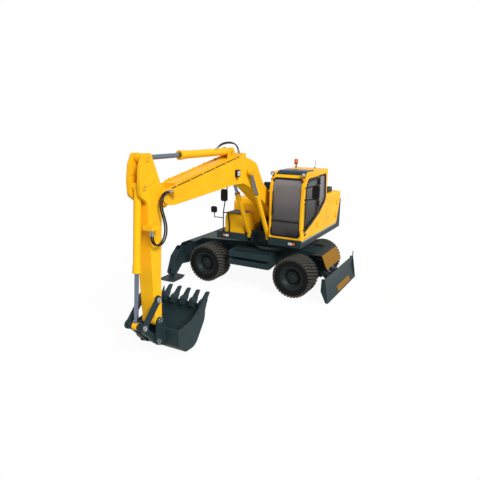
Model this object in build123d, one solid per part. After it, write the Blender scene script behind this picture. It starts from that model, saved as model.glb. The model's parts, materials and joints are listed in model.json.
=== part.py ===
from build123d import *
import math
import os

# Wheeled excavator, parked with its upper turned a quarter turn over the left side.
# Frame: millimetres, +Z up, ground at Z = 0, origin under the slewing axis.
# +X points to the blade end, -Y is the direction in which the boom points at rest.
# In the boom plane a point is (reach, height): reach runs along -Y from the slewing axis.

# Wheels and axles
TYRE_RADIUS = 527.0
TYRE_WIDTH = 275.0
LUG_COUNT = 18
LUG_DEPTH = 26.0
LUG_TIP = 64.0
LUG_ROOT = 84.0
SIDEWALL_RADIUS = 432.0
TWIN_PITCH = 318.0
OUTER_TYRE_Y = 1126.0
RIM_RADIUS = 254.0
RIM_WIDTH = 200.0
RIM_WALL = 16.0
BEAD_GAP = 0.3
BEAD_INSET = 8.0
DISC_THICK = 16.0
HUB_RADIUS = 172.0
HUB_END_Y = 1185.0
HUB_INSET = 32.0
HUB_CHAMFER = 34.0
HUB_CAP = 60.0
SPINDLE_RADIUS = 80.0
RUNNING_GAP = 0.5
RIGID_AXLE_X = 1070.0
WHEELBASE = 2590.0
KINGPIN_Y = 800.0
KINGPIN_RADIUS = 32.0
AXLE_TUBE_RADIUS = 88.0
AXLE_TUBE_END_Y = 880.0
AXLE_HOUSING_RADIUS = 148.0
STEERING_ARM = 92.0
TIE_ROD_RADIUS = 20.0
TIE_ROD_DROP = 92.0

# Chassis
FRAME_HALF_WIDTH = 335.0
FRAME_BOTTOM = 680.0
FRAME_TOP = 1030.0
FRAME_WALL = 32.0
FRAME_REAR_X = 1420.0
RING_RADIUS = 600.0
RING_BORE = 470.0
RING_BOTTOM = 1115.0
DECK_BOTTOM = 1212.0
STEP_X = (-790.0, 390.0)
STEP_INNER = 660.0
BEAM_X = -2350.0
BEAM_DEPTH = 240.0
BEAM_WALL = 18.0
BEAM_TOP = 955.0
BEAM_BOTTOM = 600.0
BEAM_HALF = 1130.0
LASH_HOLE = 28.0
LASH_RADIUS = 58.0
LASH_PLATE = 30.0
LASH_OUT = 70.0
LASH_Z = 820.0
LASH_Y = 600.0
LASH_REAR_Z = 960.0
LASH_REAR_Y = 300.0

# Outriggers, in (outward, height)
LEG_PIVOT = (1020.0, 470.0)
LEG_HORN = (1190.0, 800.0)
LEG_FOOT = (1690.0, 250.0)
LEG_WIDTH = 190.0
LEG_SLOT = 140.0
JACK_BASE = (-150.0, 740.0)
JACK_RADIUS = 34.0
JACK_ROD = 23.0
JACK_OFFSET = 36.0
PAD_LENGTH = 660.0
PAD_WIDTH = 420.0
PAD_BOTTOM = 45.0

# Blade, in (x, height)
BLADE_PIVOT = (1480.0, 560.0)
BLADE_EYE = (1745.0, 480.0)
BLADE_RAM_BASE = (1480.0, 960.0)
BLADE_HALF = 1250.0
BLADE_EDGE = (2065.0, 45.0)
BLADE_TOP = (1960.0, 655.0)
BLADE_PLATE = 28.0
BLADE_RAM_Y = 175.0
BLADE_ARM_Y = 330.0
GUARD_HALF = 600.0
GUARD_BEND = (1640.0, 1044.0)
GUARD_TIP = (1790.0, 700.0)
GUARD_PLATE = 14.0
GUARD_LAP = 60.0
GUARD_LIFT = 4.0
SEAT_GAP = 0.3

# Upper structure
BODY_HALF = 1245.0
DECK_TOP = 1480.0
SKIRT_BOTTOM = 1300.0
DECK_FRONT = -1140.0
DECK_PLATE = 14.0
DECK_CORNER = 60.0
CHEEK = 45.0
DECK_LAMP_X = (-890.0, 1010.0)
DECK_LAMP_Z = 1400.0
DECK_LAMP_HALF = (90, 36)
ROOF_LAMP_RADIUS = 52
BEACON_RADIUS = 58
MIRROR_ARM = 280
KERB_MIRROR = (170, 170)
RIGHT_MIRROR = (190, 320)
LEFT_MIRROR = (180, 320)
ROOF_LAMP = (-990.0, 3117.0)
BEACON_HEIGHT = 235.0
MIRROR_POST_X = -1010.0
MIRROR_Y = -1105.0
MIRROR_TUBE = 15.0
MIRROR_THICK = 34.0
CORE_HALF = 344.0
CORE_FRONT = -700.0
HOOD_SPLIT = 2290.0
HOOD_RISE = 130.0
HOOD_TOP = HOOD_SPLIT + HOOD_RISE
HOOD_FRONT = 720.0
HOOD_REAR = 2000.0
HOOD_SKIN = 12.0
HOOD_ROUND = 110.0
HOOD_EDGE = 50.0
HOOD_LEAN = 250.0
LEAN_DROP = 130.0
LEAN_TOP = HOOD_SPLIT - LEAN_DROP
PANEL = 40.0
HOOD_HINGE_X = 700.0
HOOD_HINGE_RISE = 16.0
SERVICE_DOOR = (860.0, 1640.0)
SERVICE_DROP = 60.0
SERVICE_DOOR_Z = (1600.0, HOOD_SPLIT - SERVICE_DROP)
SERVICE_HINGE_INSET = 120.0
SERVICE_HINGE_Z = (SERVICE_DOOR_Z[0] + SERVICE_HINGE_INSET, SERVICE_DOOR_Z[1] - SERVICE_HINGE_INSET)
LOUVRE_EDGE = 60.0
LOUVRE_PITCH = 58.0
LOUVRE_HEIGHT = 24.0
COVER_X = (-950.0, 1100.0)
COVER_Y = (1180.0, 1620.0)
COVER_RISE = 180.0
COVER_TOP = HOOD_TOP + COVER_RISE
TANK_X = (-BODY_HALF, -400.0)
TANK_Y = (-520.0, 690.0)
TANK_TOP = 2250.0
TANK_STEP = (-110.0, 1640.0)
TANK_SKIN = 10.0
TOOL_BOX_X = (-960.0, -400.0)
TOOL_BOX_Y = (-1080.0, -530.0)
TOOL_BOX_TOP = 2000.0
TOOL_BOX_SKIN = 8.0
ENGINE_HALF = 450.0
ENGINE_Y = (1000.0, 1600.0)
ENGINE_DROP = 140.0
ENGINE_TOP = HOOD_SPLIT - ENGINE_DROP
TAIL_RADIUS = 2440.0
WEIGHT_SIDE_Y = 2080.0
WEIGHT_CORNER = (1000.0, 2225.0)
WEIGHT_RECESS = 200.0
WEIGHT_TOP = LEAN_TOP
WEIGHT_BOTTOM = 1305.0

# Cab
CAB_INNER_X = 345.0
CAB_PROUD = 18.0
CAB_FRONT = -1134.0
CAB_REAR = 670.0
CAB_BOTTOM = 1486.0
CAB_ROOF = 3165.0
ROOF_SPLIT = 3075.0
CAB_WALL = 50.0
CAB_EDGE = 44.0
CAB_FRONT_POST = 75.0
CAB_SILL = 85.0
WINDSCREEN_TOP = 3000.0
WINDSCREEN_SPLIT = 1950.0
REAR_WINDOW_Z = (2250.0, 2990.0)
SIDE_WINDOW_Y = (-940.0, 550.0)
SIDE_WINDOW_Z = (2000.0, 3000.0)
DOOR_REAR = -60.0
DOOR_HINGE_Z = (1720.0, 2300.0, 2880.0)
DOOR_GAP = 6.0
GLASS = 8.0
GLASS_INSET = 20.0
VISOR_X = (440.0, 1190.0)
VISOR_Y = (-890.0, -430.0)
VISOR_THICK = 14.0
SEAT_CLEAR = 219.0
SEAT_TOP = 1900.0
HINGE_STAND = 22.0
HINGE_REACH = 30.0
HINGE_EAR = 27.0
HINGE_HALF = 30.0
HINGE_PIN = 9.0
HINGE_KNUCKLE = 16.0

# Boom, arm and bucket, in (reach, height)
BOOM_FOOT = (100.0, 1940.0)
ARM_PIVOT = (5100.0, 2970.0)
BOOM_HALF = 190.0
BOOM_PLATE = 14.0
ARM_HALF = 150.0
ARM_PLATE = 12.0
LIFT_BASE = (950.0, 1430.0)
LIFT_EYE = (2020.0, 3220.0)
LIFT_X = 272.0
LIFT_BARREL = 58.0
LIFT_ROD = 40.0
LIFT_BARREL_LENGTH = 1400.0
STICK_BASE = (2600.0, 3700.0)
STICK_EYE = (5480.0, 3700.0)
STICK_BARREL = 78.0
STICK_ROD = 45.0
STICK_BARREL_LENGTH = 1790.0
TIP_BASE = (5590.0, 3230.0)
TIP_EYE = (5780.0, 770.0)
TIP_BARREL = 66.0
TIP_ROD = 40.0
TIP_BARREL_LENGTH = 1480.0
LEVER_PIVOT = (5380.0, 1170.0)
BUCKET_PIN = (5340.0, 760.0)
BUCKET_EYE = (5390.0, 360.0)
BUCKET_HALF = 520.0
BUCKET_SIDE = 24.0
BUCKET_SHELL = 22.0
TOOTH_COUNT = 5
TOOTH_HALF = 52.0
CUTTER = 14.0
PIN_RADIUS = 40.0
SIDE_GAP = 5.0
MANIFOLD = ((1930.0, 2270.0), 3640.0)
BOOM_LAMP = (2529.0, 3221.0)
BOOM_LAMP_HALF = 75.0
BOOM_LAMP_OUT = 50.0

# Hoses, their routes in (reach, height)
HOSE_RADIUS = 15.0
FITTING_RADIUS = 21.0
FITTING_LENGTH = 50.0
BOOM_HOSES = (
    (60.0, ((2215, 3662), (2262, 3775), (2380, 3860), (2550, 3898), (2750, 3905), (2940, 3885),
            (3085, 3830), (3170, 3775))),
    (-60.0, ((1985, 3662), (2032, 3765), (2145, 3840), (2310, 3872), (2510, 3878), (2710, 3862),
             (2870, 3815), (2965, 3775))),
)
ARM_HOSE_X = (248.0, 292.0)
ARM_HOSE = ((5030, 3105), (5150, 3115), (5268, 3062), (5325, 2940), (5305, 2800), (5245, 2660),
            (5205, 2520),
            (5210, 2380), (5275, 2260), (5395, 2200), (5525, 2235), (5590, 2350), (5600, 2480))


STEER_AXLE_X = RIGID_AXLE_X - WHEELBASE
AXLE_Z = TYRE_RADIUS
INNER_TYRE_Y = OUTER_TYRE_Y - TWIN_PITCH
TWIN_MIDDLE_Y = (OUTER_TYRE_Y + INNER_TYRE_Y) / 2
CAB_OUTER_X = BODY_HALF + CAB_PROUD
SEAT_HALF = (CAB_OUTER_X - CAB_INNER_X) / 2 - SEAT_CLEAR
DOOR_HINGE = (CAB_OUTER_X + HINGE_STAND, DOOR_REAR)
SERVICE_HINGE = (BODY_HALF + HINGE_STAND, SERVICE_DOOR[1])
WEIGHT_FRONT = HOOD_REAR - HOOD_LEAN
SIDES = {"left": -1, "right": 1}


def block(x0, x1, y0, y1, z0, z1):
    """Box between two corners."""
    middle = Pos((x0 + x1) / 2, (y0 + y1) / 2, (z0 + z1) / 2)
    return middle * Box(x1 - x0, y1 - y0, z1 - z0)


def bar(start, end, radius):
    """Round bar between two points."""
    a, b = Vector(start), Vector(end)
    plane = Plane(origin=a, z_dir=(b - a).normalized())
    return plane * Cylinder(radius, (b - a).length, align=(Align.CENTER, Align.CENTER, Align.MIN))


def outline(points, radius=0.0):
    """Closed face through the points, with its corners rounded by one radius or a list of radii."""
    if radius:
        return make_face(FilletPolyline(*points, radius=radius, close=True))
    return make_face(Polyline(*points, close=True))


def boom_plane(x):
    """Drawing plane of the boom: right is reach, up is height."""
    return Plane(origin=(x, 0, 0), x_dir=(0, -1, 0), z_dir=(-1, 0, 0))


def boom_plate(face, x0, x1):
    """Plate of a boom-plane face between two x values."""
    return extrude(boom_plane(x1) * face, x1 - x0)


def side_plate(face, y0, y1):
    """Plate of an (x, height) face between two y values."""
    plane = Plane(origin=(0, y1, 0), x_dir=(1, 0, 0), z_dir=(0, -1, 0))
    return extrude(plane * face, y1 - y0)


def end_plate(face, x0, x1, side):
    """Plate of an (outward, height) face between two x values, on the left (-1) or right (1)."""
    origin_x = x0 if side > 0 else x1
    plane = Plane(origin=(origin_x, 0, 0), x_dir=(0, side, 0), z_dir=(side, 0, 0))
    return extrude(plane * face, x1 - x0)


def plan_plate(face, z0, z1):
    """Plate of an (x, y) face between two heights."""
    return extrude(Plane.XY.offset(z0) * face, z1 - z0)


def boom_pin(point, x0, x1, radius):
    """Round pin across the boom plane."""
    return bar((x0, -point[0], point[1]), (x1, -point[0], point[1]), radius)


def toward(start, end, distance):
    """Point at a distance from start towards end, in any drawing plane."""
    length = math.dist(start, end)
    return tuple(a + (b - a) * distance / length for a, b in zip(start, end))


def disc(point, radius):
    """Round face at a point."""
    return Pos(point[0], point[1]) * Circle(radius)


def leaf_hinge(pin, z, side):
    """Ears with their pin, and the knuckle that turns on it. The leaf lies inside the pin, towards -Y."""
    x, y = side * pin[0], pin[1]
    top = HINGE_HALF + 3 + HINGE_EAR
    ears = bar((x, y, z - top), (x, y, z + top), HINGE_PIN)
    inner, outer = sorted((x - side * HINGE_REACH, x + side * HINGE_KNUCKLE))
    for low in (z - top, z + top - HINGE_EAR):
        ears = ears + bar((x, y, low), (x, y, low + HINGE_EAR), HINGE_KNUCKLE)
        ears = ears + block(inner, outer, y + 4, y + 45, low, low + HINGE_EAR)
    inner, outer = sorted((x - side * HINGE_REACH, x))
    knuckle = block(inner, outer, y - 50, y - DOOR_GAP, z - HINGE_HALF, z + HINGE_HALF)
    knuckle = knuckle + bar((x, y, z - HINGE_HALF), (x, y, z + HINGE_HALF), HINGE_KNUCKLE)
    knuckle = knuckle - bar((x, y, z - top), (x, y, z + top), HINGE_PIN + RUNNING_GAP)
    return ears, knuckle


def tube(points, radius):
    """Hose along straight runs joined by arcs as large as the runs allow. Prints its radii."""
    corners = [Vector(p) for p in points]
    edges, start, radii = [], corners[0], []
    for before, corner, after in zip(corners, corners[1:], corners[2:]):
        back, ahead = before - corner, after - corner
        reach = 0.45 * min(back.length, ahead.length)
        half_turn = math.radians(180 - back.get_angle(ahead)) / 2
        bend = reach / math.tan(half_turn)
        inward = (back.normalized() + ahead.normalized()).normalized()
        middle = corner + inward * (bend / math.cos(half_turn) - bend)
        first, last = corner + back.normalized() * reach, corner + ahead.normalized() * reach
        edges += [Line(start, first), ThreePointArc(first, middle, last)]
        start = last
        radii.append(round(bend))
    edges.append(Line(start, corners[-1]))
    path = Wire([edge.edge() for edge in edges])
    print("hose bends", radii, "length", round(path.length))
    section = Plane(origin=corners[0], z_dir=(corners[1] - corners[0]).normalized()) * Circle(radius)
    return sweep(section, path=path)


def fitting(x, end, before):
    """Hose fitting in line with the hose's end, a running gap away from it."""
    start, stop = toward(end, before, -SEAT_GAP), toward(end, before, -FITTING_LENGTH)
    return bar((x, -start[0], start[1]), (x, -stop[0], stop[1]), FITTING_RADIUS)


def joined(*parts):
    """One solid from pieces that overlap."""
    body = parts[0]
    for part in parts[1:]:
        body = body + part
    return body


def write(name, *parts):
    """Write one node: its solids, each apart from the others."""
    solids = [solid for part in parts for solid in part.solids()]
    shape = solids[0] if len(solids) == 1 else Compound(solids)
    shape.label = name
    export_step(shape, f"parts/{name}.step")


def wheel_plane(y):
    """Drawing plane of a wheel, square to its axle."""
    return Plane(origin=(0, y, 0), x_dir=(1, 0, 0), z_dir=(0, 1, 0))


def flats(radius):
    """Face with as many flats as the tyre has lugs, at a radius from the axle."""
    return RegularPolygon(radius, LUG_COUNT, major_radius=False)


def lug_outline():
    """Outline of half the tread: the tips of the lugs and the grooves between them."""
    groove = TYRE_RADIUS - LUG_DEPTH
    lug = ((groove, -LUG_ROOT / 2), (TYRE_RADIUS, -LUG_TIP / 2), (TYRE_RADIUS, LUG_TIP / 2),
           (groove, LUG_ROOT / 2))
    points = []
    for index in range(LUG_COUNT):
        turn = 2 * math.pi * index / LUG_COUNT
        for out, across in lug:
            points.append((out * math.cos(turn) - across * math.sin(turn),
                           out * math.sin(turn) + across * math.cos(turn)))
    return outline(points)


def tyre(middle_y):
    """One tyre about the Y axis: two staggered rows of lugs, hollow side walls and the bead's seat."""
    half, bead = TYRE_WIDTH / 2, RIM_RADIUS + BEAD_GAP
    bead_y = RIM_WIDTH / 2 - BEAD_INSET
    lugs = lug_outline()
    body = extrude(wheel_plane(0) * lugs, half)
    body = body + extrude(wheel_plane(-half) * Rot(0, 0, 180 / LUG_COUNT) * lugs, half)
    for side in (-1, 1):
        mouth = wheel_plane(side * half) * flats(SIDEWALL_RADIUS)
        seat = wheel_plane(side * bead_y) * flats(bead)
        body = body - loft([mouth, seat], ruled=True)
    body = body - extrude(wheel_plane(-half) * flats(bead), TYRE_WIDTH)
    return Pos(0, middle_y, 0) * body


def rims():
    """Twin rims, the spacer disc between them and the hub that carries them."""
    ring = extrude(wheel_plane(-RIM_WIDTH / 2) * (flats(RIM_RADIUS) - flats(RIM_RADIUS - RIM_WALL)),
                   RIM_WIDTH)
    outer = Pos(0, OUTER_TYRE_Y, 0) * ring
    inner = Pos(0, INNER_TYRE_Y, 0) * ring
    joint = RIM_RADIUS - RIM_WALL / 2
    spread = (TWIN_PITCH - RIM_WIDTH) / 2 + RIM_WALL
    dish = [
        (joint, TWIN_MIDDLE_Y - spread),
        (joint, TWIN_MIDDLE_Y + spread),
        (HUB_RADIUS - RIM_WALL, TWIN_MIDDLE_Y + DISC_THICK),
        (HUB_RADIUS - RIM_WALL, TWIN_MIDDLE_Y - DISC_THICK),
    ]
    disc_body = revolve(outline(dish), Axis.Y)
    bore = SPINDLE_RADIUS + RUNNING_GAP
    inside = AXLE_TUBE_END_Y + HUB_INSET
    hub = [
        (bore, inside),
        (HUB_RADIUS, inside),
        (HUB_RADIUS, HUB_END_Y - HUB_CHAMFER),
        (HUB_RADIUS - HUB_CHAMFER, HUB_END_Y),
        (0, HUB_END_Y),
        (0, HUB_END_Y - HUB_CAP),
        (bore, HUB_END_Y - HUB_CAP),
    ]
    return joined(outer, disc_body, inner, revolve(outline(hub), Axis.Y))


def knuckle():
    """Right-hand steering knuckle with its spindle, yoke and steering arm, about the axle's middle."""
    flange_y = AXLE_TUBE_END_Y + 8
    flange = bar((0, flange_y, 0), (0, flange_y + 22, 0), HUB_RADIUS - 8)
    spindle = bar((0, flange_y, 0), (0, HUB_END_Y - 66, 0), SPINDLE_RADIUS)
    body = flange + spindle
    for up in (-1, 1):
        low, high = sorted((up * 118, up * 158))
        arm = block(-60, 60, KINGPIN_Y - 62, flange_y + 12, low, high)
        pin = bar((0, KINGPIN_Y, up * 60), (0, KINGPIN_Y, up * 150), KINGPIN_RADIUS)
        body = body + arm + pin
    arm_top, arm_bottom = -TIE_ROD_DROP + 60, -TIE_ROD_DROP + 26
    return body + block(STEERING_ARM - 18, STEERING_ARM + 22, KINGPIN_Y - 10, flange_y + 10, arm_bottom,
                        arm_top)


def wheel_nodes():
    """Four twin wheels, two knuckles and what carries them."""
    tyres = [tyre(OUTER_TYRE_Y), tyre(INNER_TYRE_Y)]
    rim = rims()
    for axle, axle_x in (("steer", STEER_AXLE_X), ("rigid", RIGID_AXLE_X)):
        for side, sign in SIDES.items():
            place = Pos(axle_x, 0, AXLE_Z) * Rot(0, 0, 0 if sign > 0 else 180)
            write(f"{axle}_wheel_{side}_tyres", *[place * t for t in tyres])
            write(f"{axle}_wheel_{side}_rims", place * rim)
    for side, sign in SIDES.items():
        fist = knuckle()
        if sign < 0:
            fist = mirror(fist, Plane.XZ)
        write(f"steer_knuckle_{side}", Pos(STEER_AXLE_X, 0, AXLE_Z) * fist)


def axle_nodes():
    """The steering axle with its cylinder, the rigid axle and the drive line."""
    flange_x = AXLE_HOUSING_RADIUS + 24
    tube_end = KINGPIN_Y - 60
    steer = bar((0, -tube_end, 0), (0, tube_end, 0), AXLE_TUBE_RADIUS) + Sphere(AXLE_HOUSING_RADIUS)
    steer = steer + bar((AXLE_HOUSING_RADIUS - 40, 0, 0), (flange_x, 0, 0), 70)
    for sign in (-1, 1):
        steer = steer + bar((0, sign * KINGPIN_Y, -112), (0, sign * KINGPIN_Y, 112), 66)
        for up in (-1, 1):
            steer = steer - bar((0, sign * KINGPIN_Y, up * 50), (0, sign * KINGPIN_Y, up * 120),
                                KINGPIN_RADIUS + RUNNING_GAP)
    steer = steer + block(-150, 150, -210, 210, 60, FRAME_BOTTOM - AXLE_Z)
    rod_x, rod_z = STEERING_ARM, -TIE_ROD_DROP
    steer = steer + bar((rod_x, -270, rod_z), (rod_x, 270, rod_z), 42)
    steer = steer - bar((rod_x, -400, rod_z), (rod_x, 400, rod_z), TIE_ROD_RADIUS + RUNNING_GAP)
    write("steer_axle", Pos(STEER_AXLE_X, 0, AXLE_Z) * steer)
    rod = bar((rod_x, -KINGPIN_Y, rod_z), (rod_x, KINGPIN_Y, rod_z), TIE_ROD_RADIUS)
    for sign in (-1, 1):
        rod = rod + bar((rod_x, sign * KINGPIN_Y, rod_z - 24), (rod_x, sign * KINGPIN_Y, rod_z + 24), 24)
    write("steering_rod", Pos(STEER_AXLE_X, 0, AXLE_Z) * rod)

    rigid = bar((0, -AXLE_TUBE_END_Y, 0), (0, AXLE_TUBE_END_Y, 0), AXLE_TUBE_RADIUS + 10)
    rigid = rigid + Sphere(AXLE_HOUSING_RADIUS) + bar((0, 0, 0), (-flange_x, 0, 0), 70)
    for sign in (-1, 1):
        flange = bar((0, sign * (AXLE_TUBE_END_Y - 30), 0), (0, sign * AXLE_TUBE_END_Y, 0), HUB_RADIUS - 8)
        spindle = bar((0, sign * AXLE_TUBE_END_Y, 0), (0, sign * (HUB_END_Y - 66), 0), SPINDLE_RADIUS)
        pad_low, pad_high = sorted((sign * 200, sign * 320))
        pad = block(-130, 130, pad_low, pad_high, 0, FRAME_BOTTOM - AXLE_Z)
        rigid = rigid + flange + spindle + pad
    write("rigid_axle", Pos(RIGID_AXLE_X, 0, AXLE_Z) * rigid)

    gearbox = block(-60, 330, -190, 190, 470, FRAME_BOTTOM)
    front_shaft = bar((STEER_AXLE_X + flange_x, 0, AXLE_Z), (-60, 0, AXLE_Z), 45)
    rear_shaft = bar((330, 0, AXLE_Z), (RIGID_AXLE_X - flange_x, 0, AXLE_Z), 45)
    write("drive_line", gearbox + front_shaft + rear_shaft)


def chassis_nodes():
    """Frame with its outrigger beam, slewing ring and step boxes."""
    front_x = BEAM_X + BEAM_DEPTH / 2
    profile = [
        (front_x, FRAME_BOTTOM), (FRAME_REAR_X, FRAME_BOTTOM), (FRAME_REAR_X, FRAME_TOP),
        (760, FRAME_TOP + 40), (-760, FRAME_TOP + 40), (front_x, FRAME_TOP - 40),
    ]
    frame = side_plate(outline(profile), -FRAME_HALF_WIDTH, FRAME_HALF_WIDTH)
    hollow = offset(outline(profile), amount=-FRAME_WALL)
    inner = FRAME_HALF_WIDTH - FRAME_WALL
    frame = frame - side_plate(hollow, -inner, inner)
    pedestal = Pos(0, 0, FRAME_TOP - 180) * Cone(
        380, RING_RADIUS + 30, 220, align=(Align.CENTER, Align.CENTER, Align.MIN))
    collar = Pos(0, 0, FRAME_TOP + 40) * Cylinder(
        RING_RADIUS + 30, RING_BOTTOM - FRAME_TOP - 40, align=(Align.CENTER, Align.CENTER, Align.MIN))
    well = Pos(0, 0, FRAME_TOP - 100) * Cylinder(
        330, 300, align=(Align.CENTER, Align.CENTER, Align.MIN))
    frame = frame + pedestal + collar - well

    arch = [
        (-BEAM_HALF, BEAM_BOTTOM + 40), (-880, BEAM_BOTTOM), (-420, BEAM_BOTTOM + 60),
        (420, BEAM_BOTTOM + 60), (880, BEAM_BOTTOM), (BEAM_HALF, BEAM_BOTTOM + 40),
        (BEAM_HALF, BEAM_TOP - 90), (BEAM_HALF - 120, BEAM_TOP),
        (-BEAM_HALF + 120, BEAM_TOP), (-BEAM_HALF, BEAM_TOP - 90),
    ]
    beam_face = outline(arch)
    near, far = BEAM_X - BEAM_DEPTH / 2, BEAM_X + BEAM_DEPTH / 2
    beam = end_plate(beam_face, near, near + BEAM_WALL, 1) + end_plate(beam_face, far - BEAM_WALL, far, 1)
    lid = block(near, far, -700, 700, BEAM_TOP - BEAM_WALL, BEAM_TOP)
    frame = frame + beam + lid
    for sign in (-1, 1):
        for wall in (near, far - BEAM_WALL):
            lug = [(780, BEAM_BOTTOM + 60), (LEG_PIVOT[0] - 90, LEG_PIVOT[1]),
                   (LEG_PIVOT[0], LEG_PIVOT[1] - 90), (LEG_PIVOT[0] + 90, LEG_PIVOT[1]),
                   (1100, BEAM_BOTTOM + 60)]
            frame = frame + end_plate(outline(lug), wall, wall + BEAM_WALL, sign)
        pin = end_plate(disc(LEG_PIVOT, PIN_RADIUS), near, far, sign)
        lane = (BEAM_X + 2, far) if sign > 0 else (near, BEAM_X - 2)
        base = end_plate(disc(JACK_BASE, 22), *lane, sign)
        frame = frame + pin + base

    for y in (-BLADE_ARM_Y, BLADE_ARM_Y):
        cheek = [(FRAME_REAR_X - 120, FRAME_BOTTOM + 30), (FRAME_REAR_X - 60, BLADE_PIVOT[1] - 60),
                 (BLADE_PIVOT[0], BLADE_PIVOT[1] - 80), (BLADE_PIVOT[0] + 80, BLADE_PIVOT[1]),
                 (FRAME_REAR_X + 40, FRAME_BOTTOM + 120), (FRAME_REAR_X - 120, FRAME_BOTTOM + 200)]
        for low in (y - 75, y + 50):
            frame = frame + side_plate(outline(cheek), low, low + 25)
        frame = frame + bar((BLADE_PIVOT[0], y - 75, BLADE_PIVOT[1]),
                            (BLADE_PIVOT[0], y + 75, BLADE_PIVOT[1]),
                            PIN_RADIUS - 5)
    for y in (-BLADE_RAM_Y, BLADE_RAM_Y):
        ear = [(FRAME_REAR_X - 60, FRAME_TOP - 10), (FRAME_REAR_X - 60, FRAME_TOP - 200),
               (BLADE_RAM_BASE[0] + 20, BLADE_RAM_BASE[1] - 70),
               (BLADE_RAM_BASE[0] + 70, BLADE_RAM_BASE[1]),
               (BLADE_RAM_BASE[0] + 20, BLADE_RAM_BASE[1] + 65)]
        for low in (y - 70, y + 50):
            frame = frame + side_plate(outline(ear), low, low + 20)
        frame = frame + bar((BLADE_RAM_BASE[0], y - 70, BLADE_RAM_BASE[1]),
                            (BLADE_RAM_BASE[0], y + 70, BLADE_RAM_BASE[1]), 26)
    for wall, way, z, across in ((near, -1, LASH_Z, LASH_Y), (FRAME_REAR_X, 1, LASH_REAR_Z, LASH_REAR_Y)):
        eye_x = wall + way * LASH_OUT
        root = wall - way * 5
        tab = disc((eye_x, z), LASH_RADIUS) + outline(
            [(eye_x, z - LASH_RADIUS), (root, z - LASH_RADIUS), (root, z + LASH_RADIUS),
             (eye_x, z + LASH_RADIUS)])
        tab = tab - disc((eye_x, z), LASH_HOLE)
        for sign in (-1, 1):
            low = sign * across - LASH_PLATE / 2
            frame = frame + side_plate(tab, low, low + LASH_PLATE)
    write("chassis_frame", frame)

    ring = Pos(0, 0, RING_BOTTOM) * (
        Cylinder(RING_RADIUS, DECK_BOTTOM - RING_BOTTOM, align=(Align.CENTER, Align.CENTER, Align.MIN))
        - Cylinder(RING_BORE, DECK_BOTTOM - RING_BOTTOM, align=(Align.CENTER, Align.CENTER, Align.MIN)))
    write("slewing_ring", ring)

    boxes = []
    for sign in SIDES.values():
        face = [(STEP_INNER, 640), (1060, 600), (1200, 620), (1200, 760), (1040, 780),
                (1040, 830), (1190, 840), (1180, 985), (STEP_INNER, 1015)]
        box = end_plate(outline(face), *STEP_X, sign)
        box = box - end_plate(outline([(STEP_INNER + 12, 652), (1028, 640), (1028, 990),
                                       (STEP_INNER + 12, 1002)]),
                              STEP_X[0] + 12, STEP_X[1] - 12, sign)
        for x in (STEP_X[0] + 200, STEP_X[1] - 220):
            box = box + end_plate(outline([(FRAME_HALF_WIDTH, 690), (STEP_INNER + 20, 650),
                                           (STEP_INNER + 20, 760),
                                           (FRAME_HALF_WIDTH, 800)]), x, x + 20, sign)
        boxes.append(box)
    write("step_boxes", *boxes)


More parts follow.
